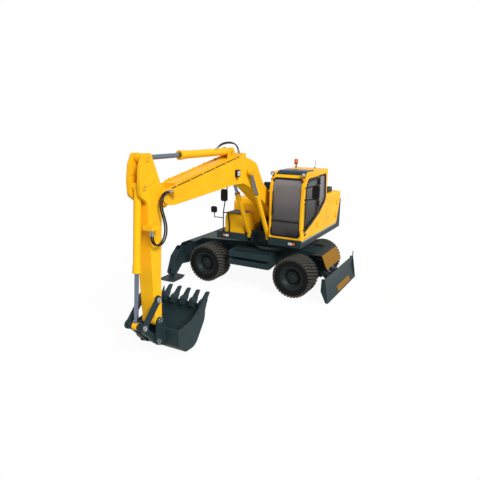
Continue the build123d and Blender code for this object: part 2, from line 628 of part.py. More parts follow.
def blade_nodes():
    """Dozer blade with its push arms, the rams and the guard over them."""
    edge, top = BLADE_EDGE, BLADE_TOP
    front = ThreePointArc(edge, (1962, 330), top)
    cap = Line(top, (top[0] - BLADE_PLATE, top[1]))
    back = ThreePointArc((top[0] - BLADE_PLATE, top[1]), (1962 - BLADE_PLATE, 330), (edge[0] - 60, edge[1]))
    foot = Line((edge[0] - 60, edge[1]), edge)
    board = side_plate(make_face([front, cap, back, foot]), -BLADE_HALF, BLADE_HALF)
    spine = [(1945, 190), (1945, 480), (1830, 450), (1800, 330), (1830, 220)]
    board = board + side_plate(outline(spine), -900, 900)
    cheek = [(edge[0] - 70, edge[1]), (edge[0] - 5, edge[1]), (top[0], top[1]), (top[0] - 90, top[1] - 10),
             (1860, 330)]
    for low in (-BLADE_HALF, BLADE_HALF - 25):
        board = board + side_plate(outline(cheek), low, low + 25)
    px, pz = BLADE_PIVOT
    for y in (-BLADE_ARM_Y, BLADE_ARM_Y):
        arm = [(px - 20, pz + 62), (px + 60, pz + 50), (1850, 450), (1850, 210), (px + 60, pz - 62),
               (px - 20, pz - 62)]
        arm_plate = side_plate(outline(arm), y - 45, y + 45) + bar(
            (px, y - 45, pz), (px, y + 45, pz), 64)
        board = board + arm_plate - bar((px, y - 60, pz), (px, y + 60, pz), PIN_RADIUS - 5 + RUNNING_GAP)
    ex, ez = BLADE_EYE
    for y in (-BLADE_RAM_Y, BLADE_RAM_Y):
        ear = [(ex - 20, ez + 50), (ex + 40, ez + 50), (1850, 440), (1850, 300), (1800, 320),
               (ex - 20, ez - 50)]
        for low in (y - 62, y + 40):
            board = board + side_plate(outline(ear), low, low + 22)
    write("blade", board)

    base, eye = BLADE_RAM_BASE, BLADE_EYE
    barrels, rods = [], []
    for y in (-BLADE_RAM_Y, BLADE_RAM_Y):
        head = toward(base, eye, 350)
        barrel = bar((base[0], y, base[1]), (head[0], y, head[1]), 46)
        barrel = barrel + bar((base[0], y - 38, base[1]), (base[0], y + 38, base[1]), 52)
        barrel = barrel - bar((base[0], y - 50, base[1]), (base[0], y + 50, base[1]), 26 + RUNNING_GAP)
        start = toward(base, eye, 90)
        barrel = barrel - bar((start[0], y, start[1]), (eye[0], y, eye[1]), 28 + RUNNING_GAP)
        barrels.append(barrel)
        inside = toward(base, eye, 240)
        rod = bar((inside[0], y, inside[1]), (eye[0], y, eye[1]), 28)
        rods.append(rod + bar((eye[0], y - 34, eye[1]), (eye[0], y + 34, eye[1]), 46))
    write("blade_ram_barrels", *barrels)
    write("blade_ram_rods", *rods)

    (bend_x, bend_z), (tip_x, tip_z) = GUARD_BEND, GUARD_TIP
    seat_z, seat_x = FRAME_TOP + GUARD_LIFT, FRAME_REAR_X - GUARD_LAP
    upper = [(seat_x, bend_z), (bend_x, bend_z), (tip_x, tip_z)]
    lower = [(tip_x - GUARD_PLATE, tip_z), (bend_x - GUARD_PLATE / 2, seat_z), (seat_x, seat_z)]
    guard = side_plate(outline(upper + lower), -GUARD_HALF, GUARD_HALF)
    back_x = FRAME_REAR_X + SEAT_GAP
    web = [(back_x, seat_z + 2), (bend_x, seat_z + 2), toward(GUARD_TIP, GUARD_BEND, 60),
           (back_x, FRAME_TOP - 180)]
    write("blade_guard", guard + side_plate(outline(web), -GUARD_PLATE / 2, GUARD_PLATE / 2))


def outrigger_nodes():
    """Two legs that fold at the ends of the beam, their jacks and their feet."""
    for side, sign in SIDES.items():
        x0, x1 = BEAM_X - LEG_WIDTH / 2, BEAM_X + LEG_WIDTH / 2
        px, pz = LEG_PIVOT
        leg_face = [(px - 85, pz + 20), (px - 20, pz - 85), (1300, 420),
                    (LEG_FOOT[0] - 110, LEG_FOOT[1] - 60),
                    (LEG_FOOT[0], LEG_FOOT[1] - 80), (LEG_FOOT[0] + 90, LEG_FOOT[1] + 10), (1590, 700),
                    (1290, 935), (1130, 900), (1090, 720)]
        leg = end_plate(outline(leg_face, 32), x0, x1, sign)
        slot = [(px - 200, pz + 110), (1240, 640), (1400, 740), (1400, 1000), (px - 200, 1000)]
        leg = leg - end_plate(outline(slot), BEAM_X - LEG_SLOT / 2, BEAM_X + LEG_SLOT / 2, sign)
        leg = leg - end_plate(disc(LEG_PIVOT, PIN_RADIUS + RUNNING_GAP), x0 - 5, x1 + 5, sign)
        leg = leg - end_plate(disc(LEG_FOOT, 130), BEAM_X - 35, BEAM_X + 35, sign)
        leg = leg + end_plate(disc(LEG_FOOT, 26), x0, x1, sign)
        write(f"outrigger_leg_{side}", leg)

        pad = [(LEG_FOOT[0] - PAD_LENGTH / 2, PAD_BOTTOM + 50), (LEG_FOOT[0] - 200, PAD_BOTTOM),
               (LEG_FOOT[0] + 200, PAD_BOTTOM), (LEG_FOOT[0] + PAD_LENGTH / 2, PAD_BOTTOM + 50),
               (LEG_FOOT[0] + PAD_LENGTH / 2, PAD_BOTTOM + 75),
               (LEG_FOOT[0] - PAD_LENGTH / 2, PAD_BOTTOM + 75)]
        foot = end_plate(outline(pad), BEAM_X - PAD_WIDTH / 2, BEAM_X + PAD_WIDTH / 2, sign)
        tongue = [(LEG_FOOT[0] - 70, PAD_BOTTOM + 60), (LEG_FOOT[0] + 70, PAD_BOTTOM + 60),
                  (LEG_FOOT[0] + 50, LEG_FOOT[1] + 45), (LEG_FOOT[0] - 50, LEG_FOOT[1] + 45)]
        foot = foot + end_plate(outline(tongue), BEAM_X - 30, BEAM_X + 30, sign)
        foot = foot - end_plate(disc(LEG_FOOT, 26 + RUNNING_GAP), BEAM_X - 40, BEAM_X + 40, sign)
        write(f"outrigger_foot_{side}", foot)

        lane = BEAM_X + sign * JACK_OFFSET
        head = toward(JACK_BASE, LEG_HORN, 755)

        def at(point, x=lane):
            return (x, sign * point[0], point[1])

        barrel = bar(at(JACK_BASE), at(head), JACK_RADIUS)
        barrel = barrel + bar(at(JACK_BASE, lane - 32), at(JACK_BASE, lane + 32), 40)
        barrel = barrel - bar(at(JACK_BASE, lane - 60), at(JACK_BASE, lane + 60), 22 + RUNNING_GAP)
        start = toward(JACK_BASE, LEG_HORN, 70)
        barrel = barrel - bar(at(start), at(LEG_HORN), JACK_ROD + RUNNING_GAP)
        write(f"outrigger_barrel_{side}", barrel)
        inside = toward(JACK_BASE, LEG_HORN, 620)
        rod = bar(at(inside), at(LEG_HORN), JACK_ROD)
        write(f"outrigger_rod_{side}", rod + bar(at(LEG_HORN, BEAM_X - 65), at(LEG_HORN, BEAM_X + 65), 34))


def swing_frame_node():
    """Deck with its skirts, the core that carries the boom, and the cab's pads."""
    plan = [(-BODY_HALF, DECK_FRONT + DECK_CORNER), (-BODY_HALF + DECK_CORNER, DECK_FRONT),
            (-CORE_HALF, DECK_FRONT),
            (-CORE_HALF, CORE_FRONT), (CORE_HALF, CORE_FRONT), (CORE_HALF, DECK_FRONT),
            (BODY_HALF, DECK_FRONT), (BODY_HALF, WEIGHT_FRONT), (-BODY_HALF, WEIGHT_FRONT)]
    deck = plan_plate(outline(plan), SKIRT_BOTTOM, DECK_TOP)
    pocket = plan_plate(offset(outline(plan), amount=-DECK_PLATE), SKIRT_BOTTOM - 10, DECK_TOP - DECK_PLATE)
    deck = deck - pocket
    rear = WEIGHT_FRONT - DECK_PLATE
    core = block(-CORE_HALF, CORE_HALF, CORE_FRONT, rear, DECK_BOTTOM, DECK_TOP)
    core = core - block(-CORE_HALF + 25, CORE_HALF - 25, CORE_FRONT + 25, rear - 25, DECK_BOTTOM + 30,
                        DECK_TOP - 20)
    seat = Pos(0, 0, DECK_BOTTOM) * Cylinder(RING_RADIUS, 30, align=(Align.CENTER, Align.CENTER, Align.MIN))
    deck = deck + core + seat
    fx, fz = BOOM_FOOT
    cheek = [(-CORE_FRONT - 1400, DECK_TOP - 30), (-CORE_FRONT - 180, DECK_TOP - 30), (fx + 150, fz + 10),
             (fx + 60, fz + 120), (fx - 60, fz + 120), (fx - 160, fz)]
    for x0 in (-BOOM_HALF - SIDE_GAP - CHEEK, BOOM_HALF + SIDE_GAP):
        deck = deck + boom_plate(outline(cheek, [0, 0, 60, 60, 60, 60]), x0, x0 + CHEEK)
    deck = deck + boom_pin(BOOM_FOOT, -BOOM_HALF - 50, BOOM_HALF + 50, PIN_RADIUS + 12)
    lx, lz = LIFT_BASE
    lug = [(lx - 260, DECK_TOP - 30), (lx - 260, DECK_BOTTOM + 10), (lx + 20, DECK_BOTTOM + 60),
           (lx + 85, lz),
           (lx + 20, lz + 80)]
    for middle in (-LIFT_X, LIFT_X):
        for x0 in (middle - 72, middle + 50):
            deck = deck + boom_plate(outline(lug), x0, x0 + 22)
        deck = deck + boom_pin(LIFT_BASE, middle - 72, middle + 72, PIN_RADIUS)
    for x in (CAB_INNER_X + 130, CAB_OUTER_X - 130):
        for y in (CAB_FRONT + 150, CAB_REAR - 150):
            deck = deck + bar((x, y, DECK_TOP - 5), (x, y, CAB_BOTTOM - SEAT_GAP), 70)
    write("swing_frame", deck)


def counterweight_node():
    """Cast weight: a round tail in plan, sloped under and over, its front leaning with the housing."""
    corner_x, corner_y = WEIGHT_CORNER
    arc = ThreePointArc((corner_x, corner_y), (0, TAIL_RADIUS), (-corner_x, corner_y))
    sides = Polyline((-corner_x, corner_y), (-BODY_HALF, WEIGHT_SIDE_Y), (-BODY_HALF, WEIGHT_FRONT - 100),
                     (BODY_HALF, WEIGHT_FRONT - 100), (BODY_HALF, WEIGHT_SIDE_Y), (corner_x, corner_y))
    plan = plan_plate(make_face([arc, sides]), WEIGHT_BOTTOM, WEIGHT_TOP)
    front, tail = WEIGHT_FRONT + SEAT_GAP, TAIL_RADIUS + 20
    profile = [(front, WEIGHT_BOTTOM), (tail - 180, WEIGHT_BOTTOM), (tail, DECK_TOP),
               (tail, WEIGHT_TOP - 110),
               (tail - 110, WEIGHT_TOP), (HOOD_REAR + SEAT_GAP, WEIGHT_TOP), (front, DECK_TOP)]
    weight = plan & end_plate(outline(profile, [0, 60, 120, 90, 90, 0, 0]), -BODY_HALF, BODY_HALF, 1)
    low, high = DECK_TOP + 25, WEIGHT_TOP - 60
    recess = [(front - 50, low), (front + WEIGHT_RECESS, low), (HOOD_REAR + 0.6 * WEIGHT_RECESS, high),
              (HOOD_REAR - 70, high)]
    inner = BODY_HALF - WEIGHT_RECESS
    write("counterweight", weight - end_plate(outline(recess), -inner, inner, 1))


def hood_shell(inset):
    """The hood's outer form, or its inside at an inset."""
    low, high = HOOD_SPLIT + SEAT_GAP, HOOD_TOP - inset
    front, rear, side = HOOD_FRONT + inset, HOOD_REAR - inset, BODY_HALF - inset
    along = outline([(front, low), (front, high), (rear, high), (rear, low)], [0, 20, HOOD_ROUND, 0])
    across = outline([(-side, low), (-side, high), (side, high), (side, low)], [0, HOOD_EDGE, HOOD_EDGE, 0])
    return end_plate(along, -side, side, 1) & side_plate(across, front, rear)


def engine_nodes():
    """Engine, its housing with two service doors, the hood and the cover on it."""
    write("engine_block", block(-ENGINE_HALF, ENGINE_HALF, *ENGINE_Y, DECK_TOP, ENGINE_TOP))
    outer = [(HOOD_FRONT, DECK_TOP), (HOOD_FRONT, HOOD_SPLIT), (HOOD_REAR, HOOD_SPLIT),
             (HOOD_REAR, LEAN_TOP),
             (WEIGHT_FRONT, DECK_TOP)]
    inner = [(HOOD_FRONT + PANEL, DECK_TOP - 10), (HOOD_FRONT + PANEL, HOOD_SPLIT + 10),
             (HOOD_REAR - PANEL, HOOD_SPLIT + 10), (HOOD_REAR - PANEL, LEAN_TOP),
             (WEIGHT_FRONT - PANEL, DECK_TOP - 10)]
    walls = end_plate(outline(outer), -BODY_HALF, BODY_HALF, 1)
    walls = walls - end_plate(outline(inner), -BODY_HALF + PANEL, BODY_HALF - PANEL, 1)
    front, rear = SERVICE_DOOR
    bottom, top = SERVICE_DOOR_Z
    opening = outline([(front, bottom), (front, top), (rear, top), (rear, bottom)], 40)
    walls = walls - end_plate(opening, -BODY_HALF - 10, -BODY_HALF + PANEL + 10, 1)
    walls = walls - end_plate(opening, BODY_HALF - PANEL - 10, BODY_HALF + 10, 1)
    for side, sign in (("left", 1), ("right", -1)):
        low, high = sorted((sign * (BODY_HALF - PANEL), sign * BODY_HALF))
        door = end_plate(offset(opening, amount=-DOOR_GAP), low, high, 1)
        if side == "right":
            count = int((top - bottom - 2 * LOUVRE_EDGE - LOUVRE_HEIGHT) // LOUVRE_PITCH) + 1
            first = (bottom + top - LOUVRE_PITCH * (count - 1)) / 2
            for index in range(count):
                middle = first + index * LOUVRE_PITCH
                slot = [(front + 110, middle), (rear - 110, middle), (rear - 110, middle + LOUVRE_HEIGHT),
                        (front + 110, middle + LOUVRE_HEIGHT)]
                door = door - end_plate(outline(slot), low - 10, high + 10, 1)
        for z in SERVICE_HINGE_Z:
            ears, knuckle = leaf_hinge(SERVICE_HINGE, z, sign)
            walls, door = walls + ears, door + knuckle
        write(f"service_door_{side}", door)

    hood = hood_shell(0) - hood_shell(HOOD_SKIN)
    hy, hz = HOOD_FRONT - 5, HOOD_TOP + HOOD_HINGE_RISE
    base = HOOD_SPLIT - 80
    for x in (-HOOD_HINGE_X, HOOD_HINGE_X):
        walls = walls + bar((x - 45, hy, hz), (x + 45, hy, hz), 8)
        walls = walls + block(x - 45, x + 45, hy - 16, HOOD_FRONT + 2, base, base + 60)
        for low in (x - 45, x + 20):
            walls = walls + bar((low, hy, hz), (low + 25, hy, hz), 14)
            walls = walls + block(low, low + 25, hy - 16, hy, base, hz)
        hood = hood + bar((x - 17, hy, hz), (x + 17, hy, hz), 14)
        hood = hood + block(x - 17, x + 17, hy, hy + 70, HOOD_TOP - 5, hz + 4)
        hood = hood - bar((x - 50, hy, hz), (x + 50, hy, hz), 8 + RUNNING_GAP)
    write("engine_housing", walls)
    write("engine_hood", hood)
    (front, rear), floor = COVER_Y, HOOD_TOP + SEAT_GAP
    hump = [(front, floor), (rear, floor), (rear - 20, COVER_TOP - 40), (front + 120, COVER_TOP),
            (front + 50, COVER_TOP - 40)]
    write("hood_cover", end_plate(outline(hump, [0, 0, 40, 60, 30]), *COVER_X, 1))


def deck_box_nodes():
    """Tank cover and tool box on the right of the boom."""
    (front, rear), (step_y, step_z) = TANK_Y, TANK_STEP
    tank = outline([(front, DECK_TOP), (front, step_z), (step_y, step_z), (step_y, TANK_TOP - 130),
                    (step_y + 90, TANK_TOP), (rear, TANK_TOP), (rear, DECK_TOP)],
                    [0, 30, 20, 60, 60, 30, 0])
    front, rear = TOOL_BOX_Y
    box = outline([(front, DECK_TOP), (front, TOOL_BOX_TOP - 120), (front + 100, TOOL_BOX_TOP),
                   (rear, TOOL_BOX_TOP),
                   (rear, DECK_TOP)], [0, 60, 60, 30, 0])
    for name, face, (x0, x1), skin in (("tank_cover", tank, TANK_X, TANK_SKIN),
                                       ("tool_box", box, TOOL_BOX_X, TOOL_BOX_SKIN)):
        inside = end_plate(offset(face, amount=-skin), x0 + skin, x1 - skin, 1)
        write(name, end_plate(face, x0, x1, 1) - inside)


def fitting_nodes():
    """Mirrors with their posts, and the lamps of the deck and the cab."""
    def post(radius, *points):
        """Bent round tube through the points."""
        return joined(*[bar(a, b, radius) for a, b in zip(points, points[1:])],
                      *[Pos(*p) * Sphere(radius) for p in points[1:-1]])

    def mirror_head(x, z, y, width, height):
        """Rounded mirror case about a middle, its glass at y."""
        half_w, half_h = width / 2, height / 2
        face = outline([(x - half_w, z - half_h), (x + half_w, z - half_h), (x + half_w, z + half_h),
                        (x - half_w, z + half_h)], min(width, height) * 0.28)
        return side_plate(face, y - MIRROR_THICK, y)

    foot = Pos(MIRROR_POST_X, MIRROR_Y, DECK_TOP + SEAT_GAP) * Cylinder(
        40, 14, align=(Align.CENTER, Align.CENTER, Align.MIN))
    stem = post(MIRROR_TUBE, (MIRROR_POST_X, MIRROR_Y, DECK_TOP + 5), (MIRROR_POST_X, MIRROR_Y, 2010),
                (MIRROR_POST_X + 120, MIRROR_Y, 2690))
    arm = post(MIRROR_TUBE * 0.8, (MIRROR_POST_X, MIRROR_Y, 1850),
               (MIRROR_POST_X - MIRROR_ARM, MIRROR_Y, 1850),
               (MIRROR_POST_X - MIRROR_ARM, MIRROR_Y, 2010))
    rail = post(MIRROR_TUBE, (MIRROR_POST_X, MIRROR_Y, 1990), (-870, MIRROR_Y, 2010),
                (-820, MIRROR_Y, 1700),
                (-820, MIRROR_Y, DECK_TOP + SEAT_GAP))
    right = joined(foot, stem, arm, rail, mirror_head(MIRROR_POST_X - MIRROR_ARM, 2060, MIRROR_Y,
                                                      *KERB_MIRROR),
                   mirror_head(MIRROR_POST_X + 40, 2470, MIRROR_Y, *RIGHT_MIRROR))
    seat_x, head_x = CAB_OUTER_X + SEAT_GAP, CAB_OUTER_X + 300
    left_y = CAB_FRONT + 66
    left = post(MIRROR_TUBE * 0.8, (seat_x, left_y, 2520), (head_x, left_y, 2560), (head_x, left_y, 2900),
                (seat_x, left_y + 6, 2800))
    left = left + mirror_head(head_x, 2730, left_y, *LEFT_MIRROR)
    left = left - block(CAB_INNER_X, seat_x, CAB_FRONT, CAB_REAR, CAB_BOTTOM, CAB_ROOF)
    write("mirrors", right, left)

    lamps = []
    half_x, half_z = DECK_LAMP_HALF
    for x in DECK_LAMP_X:
        low, high = DECK_LAMP_Z - half_z, DECK_LAMP_Z + half_z
        face = outline([(x - half_x, low), (x + half_x, low), (x + half_x, high), (x - half_x, high)], 16)
        lamps.append(side_plate(face, DECK_FRONT - 42, DECK_FRONT - SEAT_GAP))
    cab_body = end_plate(offset(cab_profile(), amount=SEAT_GAP), CAB_INNER_X, CAB_OUTER_X, 1)
    for x in (CAB_INNER_X + 30, CAB_OUTER_X - 58):
        lamp = bar((x, ROOF_LAMP[0] - 40, ROOF_LAMP[1]), (x, ROOF_LAMP[0] + 30, ROOF_LAMP[1]),
                   ROOF_LAMP_RADIUS)
        foot = block(x - 14, x + 14, ROOF_LAMP[0] + 10, ROOF_LAMP[0] + 50, ROOF_LAMP[1] - 150, ROOF_LAMP[1])
        lamps.append(lamp + (foot - cab_body))
    stem_x, stem_y = CAB_INNER_X + 38, CAB_REAR - 170
    beacon = bar((stem_x, stem_y, CAB_ROOF + SEAT_GAP), (stem_x, stem_y, CAB_ROOF + 95), 16)
    beacon = beacon + bar((stem_x, stem_y, CAB_ROOF + 85), (stem_x, stem_y, CAB_ROOF + BEACON_HEIGHT),
                          BEACON_RADIUS)
    lamps.append(beacon + bar((stem_x, stem_y, CAB_ROOF + SEAT_GAP), (stem_x, stem_y, CAB_ROOF + 12), 34))
    write("lamps", *lamps)


def cab_profile():
    """The cab seen from its side, in (y, height): upright front, sloped brow, flat roof."""
    points = [(CAB_FRONT, CAB_BOTTOM), (CAB_FRONT, CAB_BOTTOM + 814), (CAB_FRONT + 44, CAB_ROOF - 315),
              (CAB_FRONT + 204, CAB_ROOF - 75), (CAB_FRONT + 374, CAB_ROOF), (CAB_REAR - 40, CAB_ROOF),
              (CAB_REAR, CAB_ROOF - 80), (CAB_REAR, CAB_BOTTOM)]
    return outline(points, [30, 600, 280, 280, 280, 60, 60, 30])


def door_outline(inset=0.0):
    """The door's opening in (y, height), or its leaf at an inset."""
    front, bottom = CAB_FRONT + 110, CAB_BOTTOM + 30
    points = [(front, bottom), (front, CAB_BOTTOM + 814), (front + 39, CAB_ROOF - 335),
              (front + 174, CAB_ROOF - 145),
              (DOOR_REAR, CAB_ROOF - 130), (DOOR_REAR, bottom)]
    face = outline(points, [40, 300, 150, 150, 40, 40])
    return offset(face, amount=-inset) if inset else face


def door_window():
    """The door's glazed area in (y, height); its lower edge climbs to the rear."""
    front, rear = CAB_FRONT + 174, DOOR_REAR - 70
    points = [(front, CAB_BOTTOM + 240), (front, CAB_BOTTOM + 804), (front + 35, CAB_ROOF - 375),
              (front + 140, CAB_ROOF - 215), (rear, CAB_ROOF - 200), (rear, CAB_BOTTOM + 510)]
    return outline(points, [60, 300, 120, 120, 50, 120])


def quarter_window():
    """The glazed area behind the door in (y, height)."""
    front = DOOR_REAR + 80
    points = [(front, CAB_BOTTOM + 590), (CAB_REAR - 190, CAB_BOTTOM + 850),
              (CAB_REAR - 150, CAB_BOTTOM + 950),
              (CAB_REAR - 230, CAB_ROOF - 150), (front, CAB_ROOF - 145)]
    return outline(points, [50, 90, 90, 60, 50])


def cab_openings():
    """Faces of the cab's other windows: front and rear in (x, height), right side in (y, height)."""
    x0, x1 = CAB_INNER_X + CAB_FRONT_POST, CAB_OUTER_X - CAB_FRONT_POST
    low, high = CAB_BOTTOM + CAB_SILL, WINDSCREEN_TOP
    front = outline([(x0, low), (x1, low), (x1, high), (x0, high)], 60)
    low, high = REAR_WINDOW_Z
    rear = outline([(x0, low), (x1, low), (x1, high), (x0, high)], 60)
    (y0, y1), (low, high) = SIDE_WINDOW_Y, SIDE_WINDOW_Z
    right = outline([(y0, low), (y1, low), (y1, high), (y0, high)], 60)
    return front, rear, right


def cab_nodes():
    """Cab shell, roof, door and glass."""
    x0, x1, wall = CAB_INNER_X, CAB_OUTER_X, CAB_WALL
    profile = cab_profile()
    plan = outline([(x0, CAB_FRONT - 5), (x1, CAB_FRONT - 5), (x1, CAB_REAR), (x0, CAB_REAR)], CAB_EDGE)
    body = end_plate(profile, x0, x1, 1) & plan_plate(plan, CAB_BOTTOM, CAB_ROOF)
    body = body - end_plate(offset(profile, amount=-wall), x0 + wall, x1 - wall, 1)
    front, rear, right = cab_openings()
    below = block(x0 - 50, x1 + 50, CAB_FRONT - 50, CAB_REAR + 50, CAB_BOTTOM - 10, ROOF_SPLIT)
    above = block(x0 - 50, x1 + 50, CAB_FRONT - 50, CAB_REAR + 50, ROOF_SPLIT + SEAT_GAP, CAB_ROOF + 10)
    write("cab_roof", body & above)
    shell = body & below
    shell = shell - side_plate(front, CAB_FRONT - 10, CAB_FRONT + 5 * wall)
    shell = shell - side_plate(rear, CAB_REAR - wall - 10, CAB_REAR + 10)
    shell = shell - end_plate(right, x0 - 10, x0 + wall + 10, 1)
    shell = shell - end_plate(door_outline(), x1 - wall - 10, x1 + 10, 1)
    shell = shell - end_plate(quarter_window(), x1 - wall - 10, x1 + 10, 1)
    door = end_plate(door_outline(DOOR_GAP), x1 - wall, x1, 1)
    door = door - end_plate(door_window(), x1 - wall - 10, x1 + 10, 1)
    for z in DOOR_HINGE_Z:
        ears, knuckle = leaf_hinge(DOOR_HINGE, z, 1)
        shell, door = shell + ears, door + knuckle
    write("cab_shell", shell)
    write("cab_door", door)

    pane_x = x1 - GLASS_INSET
    write("door_glass", end_plate(offset(door_window(), amount=-SEAT_GAP), pane_x - GLASS, pane_x, 1))
    quarter = end_plate(offset(quarter_window(), amount=-SEAT_GAP), pane_x - GLASS, pane_x, 1)
    right_pane = end_plate(offset(right, amount=-SEAT_GAP), x0 + GLASS_INSET, x0 + GLASS_INSET + GLASS, 1)
    rear_pane = side_plate(offset(rear, amount=-SEAT_GAP), CAB_REAR - GLASS_INSET - GLASS,
                           CAB_REAR - GLASS_INSET)
    sheet = offset(profile, amount=-GLASS_INSET) - offset(profile, amount=-GLASS_INSET - GLASS)
    screen = end_plate(sheet, x0, x1, 1) & side_plate(offset(front, amount=-SEAT_GAP), CAB_FRONT - 10,
                                                      CAB_FRONT + 5 * wall)
    screen = screen - block(x0, x1, CAB_FRONT, 0, WINDSCREEN_SPLIT - 4, WINDSCREEN_SPLIT + 4)
    brow = offset(profile, amount=SEAT_GAP + VISOR_THICK) - offset(profile, amount=SEAT_GAP)
    visor = end_plate(brow, *VISOR_X, 1) & block(*VISOR_X, *VISOR_Y, WINDSCREEN_TOP, CAB_ROOF + 50)
    write("cab_glass", screen, rear_pane, right_pane, quarter, visor)


def cab_interior_node():
    """Driver's seat between its consoles, and the steering column."""
    floor = CAB_BOTTOM + CAB_WALL
    middle = (CAB_INNER_X + CAB_OUTER_X) / 2
    back = [(180, SEAT_TOP - 60), (310, SEAT_TOP - 60), (420, 2620), (370, 2660), (300, 2620)]
    cushion = [(-270, SEAT_TOP - 130), (-230, SEAT_TOP), (280, SEAT_TOP - 25), (300, SEAT_TOP - 160)]
    seat = end_plate(outline(cushion, 25), middle - SEAT_HALF, middle + SEAT_HALF, 1)
    seat = seat + end_plate(outline(back, 22), middle - SEAT_HALF + 15, middle + SEAT_HALF - 15, 1)
    seat = seat + block(middle - SEAT_HALF + 50, middle + SEAT_HALF - 50, -180, 240, floor, SEAT_TOP - 100)
    for sign in (-1, 1):
        low, high = sorted((middle + sign * (SEAT_HALF + 15), middle + sign * (SEAT_HALF + 120)))
        seat = seat + block(low, high, -300, 160, SEAT_TOP - 160, SEAT_TOP)
        low, high = sorted((middle + sign * (SEAT_HALF - 90), middle + sign * (SEAT_HALF + 60)))
        seat = seat + block(low, high, 20, 120, SEAT_TOP - 220, SEAT_TOP - 120)
    foot_y, head_y, head_z = CAB_FRONT + 330, CAB_FRONT + 430, 2150
    column = block(middle - 80, middle + 80, foot_y - 70, foot_y + 70, floor, floor + 40)
    column = column + bar((middle, foot_y, floor + 20), (middle, head_y, head_z), 45)
    rim = Cylinder(185, 24) - Cylinder(158, 30) + Box(340, 40, 18)
    column = column + Pos(middle, head_y, head_z) * Rot(20, 0, 0) * rim
    write("cab_interior", seat, column)


def lift_cylinder_nodes():
    """Pair of boom cylinders."""
    barrels, rods = [], []
    for x in (-LIFT_X, LIFT_X):
        def at(point, across=x):
            return (across, -point[0], point[1])
        head = toward(LIFT_BASE, LIFT_EYE, LIFT_BARREL_LENGTH)
        barrel = bar(at(LIFT_BASE), at(head), 42) + bar(at(toward(LIFT_BASE, LIFT_EYE, 100)), at(head),
                                                        LIFT_BARREL)
        barrel = barrel + boom_pin(LIFT_BASE, x - 45, x + 45, 72)
        barrel = barrel - boom_pin(LIFT_BASE, x - 60, x + 60, PIN_RADIUS + RUNNING_GAP)
        barrel = barrel - bar(at(toward(LIFT_BASE, LIFT_EYE, 105)), at(LIFT_EYE), LIFT_ROD + RUNNING_GAP)
        barrels.append(barrel)
        rod = bar(at(toward(LIFT_BASE, LIFT_EYE, 695)), at(LIFT_EYE), LIFT_ROD)
        rods.append(rod + boom_pin(LIFT_EYE, x - 40, x + 40, 74))
    write("boom_cylinder_barrels", *barrels)
    write("boom_cylinder_rods", *rods)


def boom_node():
    """Welded box boom with its foot, fork and cylinder brackets."""
    points = [(BOOM_FOOT[0] - 100, BOOM_FOOT[1] + 100), (1180, 2880), (1560, 3400), (2320, 3625),
              (5170, 3120),
              (5230, 2960), (5140, 2860), (4800, 2830), (2650, 2975), (2200, 2965), (1820, 2820),
              (BOOM_FOOT[0] + 110, BOOM_FOOT[1] - 110)]
    radii = [0, 300, 350, 300, 40, 60, 60, 200, 300, 300, 300, 0]
    face = outline(points, radii)
    body = boom_plate(face, -BOOM_HALF, BOOM_HALF)
    inside = offset(face, amount=-BOOM_PLATE - 4)
    inside = inside & (Pos(2700, 2800) * Rectangle(3700, 2400))
    body = body - boom_plate(inside, -BOOM_HALF + BOOM_PLATE, BOOM_HALF - BOOM_PLATE)
    body = body + boom_pin(BOOM_FOOT, -BOOM_HALF, BOOM_HALF, 150)
    body = body - boom_pin(BOOM_FOOT, -BOOM_HALF - 5, BOOM_HALF + 5, PIN_RADIUS + 12 + RUNNING_GAP)
    fork = [(4690, 2600), (5400, 2600), (5400, 3400), (4690, 3400)]
    slot = ARM_HALF + SIDE_GAP
    body = body - boom_plate(outline(fork), -slot, slot)
    body = body + boom_pin(ARM_PIVOT, -BOOM_HALF - 30, BOOM_HALF + 30, PIN_RADIUS + 5)
    for x0 in (-BOOM_HALF - 22, BOOM_HALF):
        body = body + boom_pin(LIFT_EYE, x0, x0 + 22, 95)
    ear = [(2380, 3560), (2800, 3480), (2720, 3740), (2640, 3790), (2560, 3790), (2490, 3740)]
    for x0 in (-105, 80):
        body = body + boom_plate(outline(ear), x0, x0 + 25)
    body = body + boom_pin(STICK_BASE, -115, 115, PIN_RADIUS)
    (low, high), top = MANIFOLD
    body = body + boom_plate(outline([(low, top - 160), (high, top - 100), (high, top), (low, top)]), -100,
                             100)
    (reach, height), half = BOOM_LAMP, BOOM_LAMP_HALF
    lamp = outline([(reach - half, height - half), (reach + half, height - half),
                    (reach + half, height + half),
                    (reach - half, height + half)], 20)
    body = body + boom_plate(lamp, BOOM_HALF - 2, BOOM_HALF + BOOM_LAMP_OUT)
    for x, route in BOOM_HOSES:
        body = body + fitting(x, route[0], route[1])
    (reach, height) = ARM_HOSE[0]
    clamp = outline([(reach - 110, height - 50), (reach - 25, height - 50), (reach - 25, height + 40),
                     (reach - 110, height + 40)], 12)
    body = body + boom_plate(clamp, BOOM_HALF - 2, ARM_HOSE_X[1] + 35)
    for x in ARM_HOSE_X:
        body = body + fitting(x, ARM_HOSE[0], ARM_HOSE[1])
    write("boom", body)


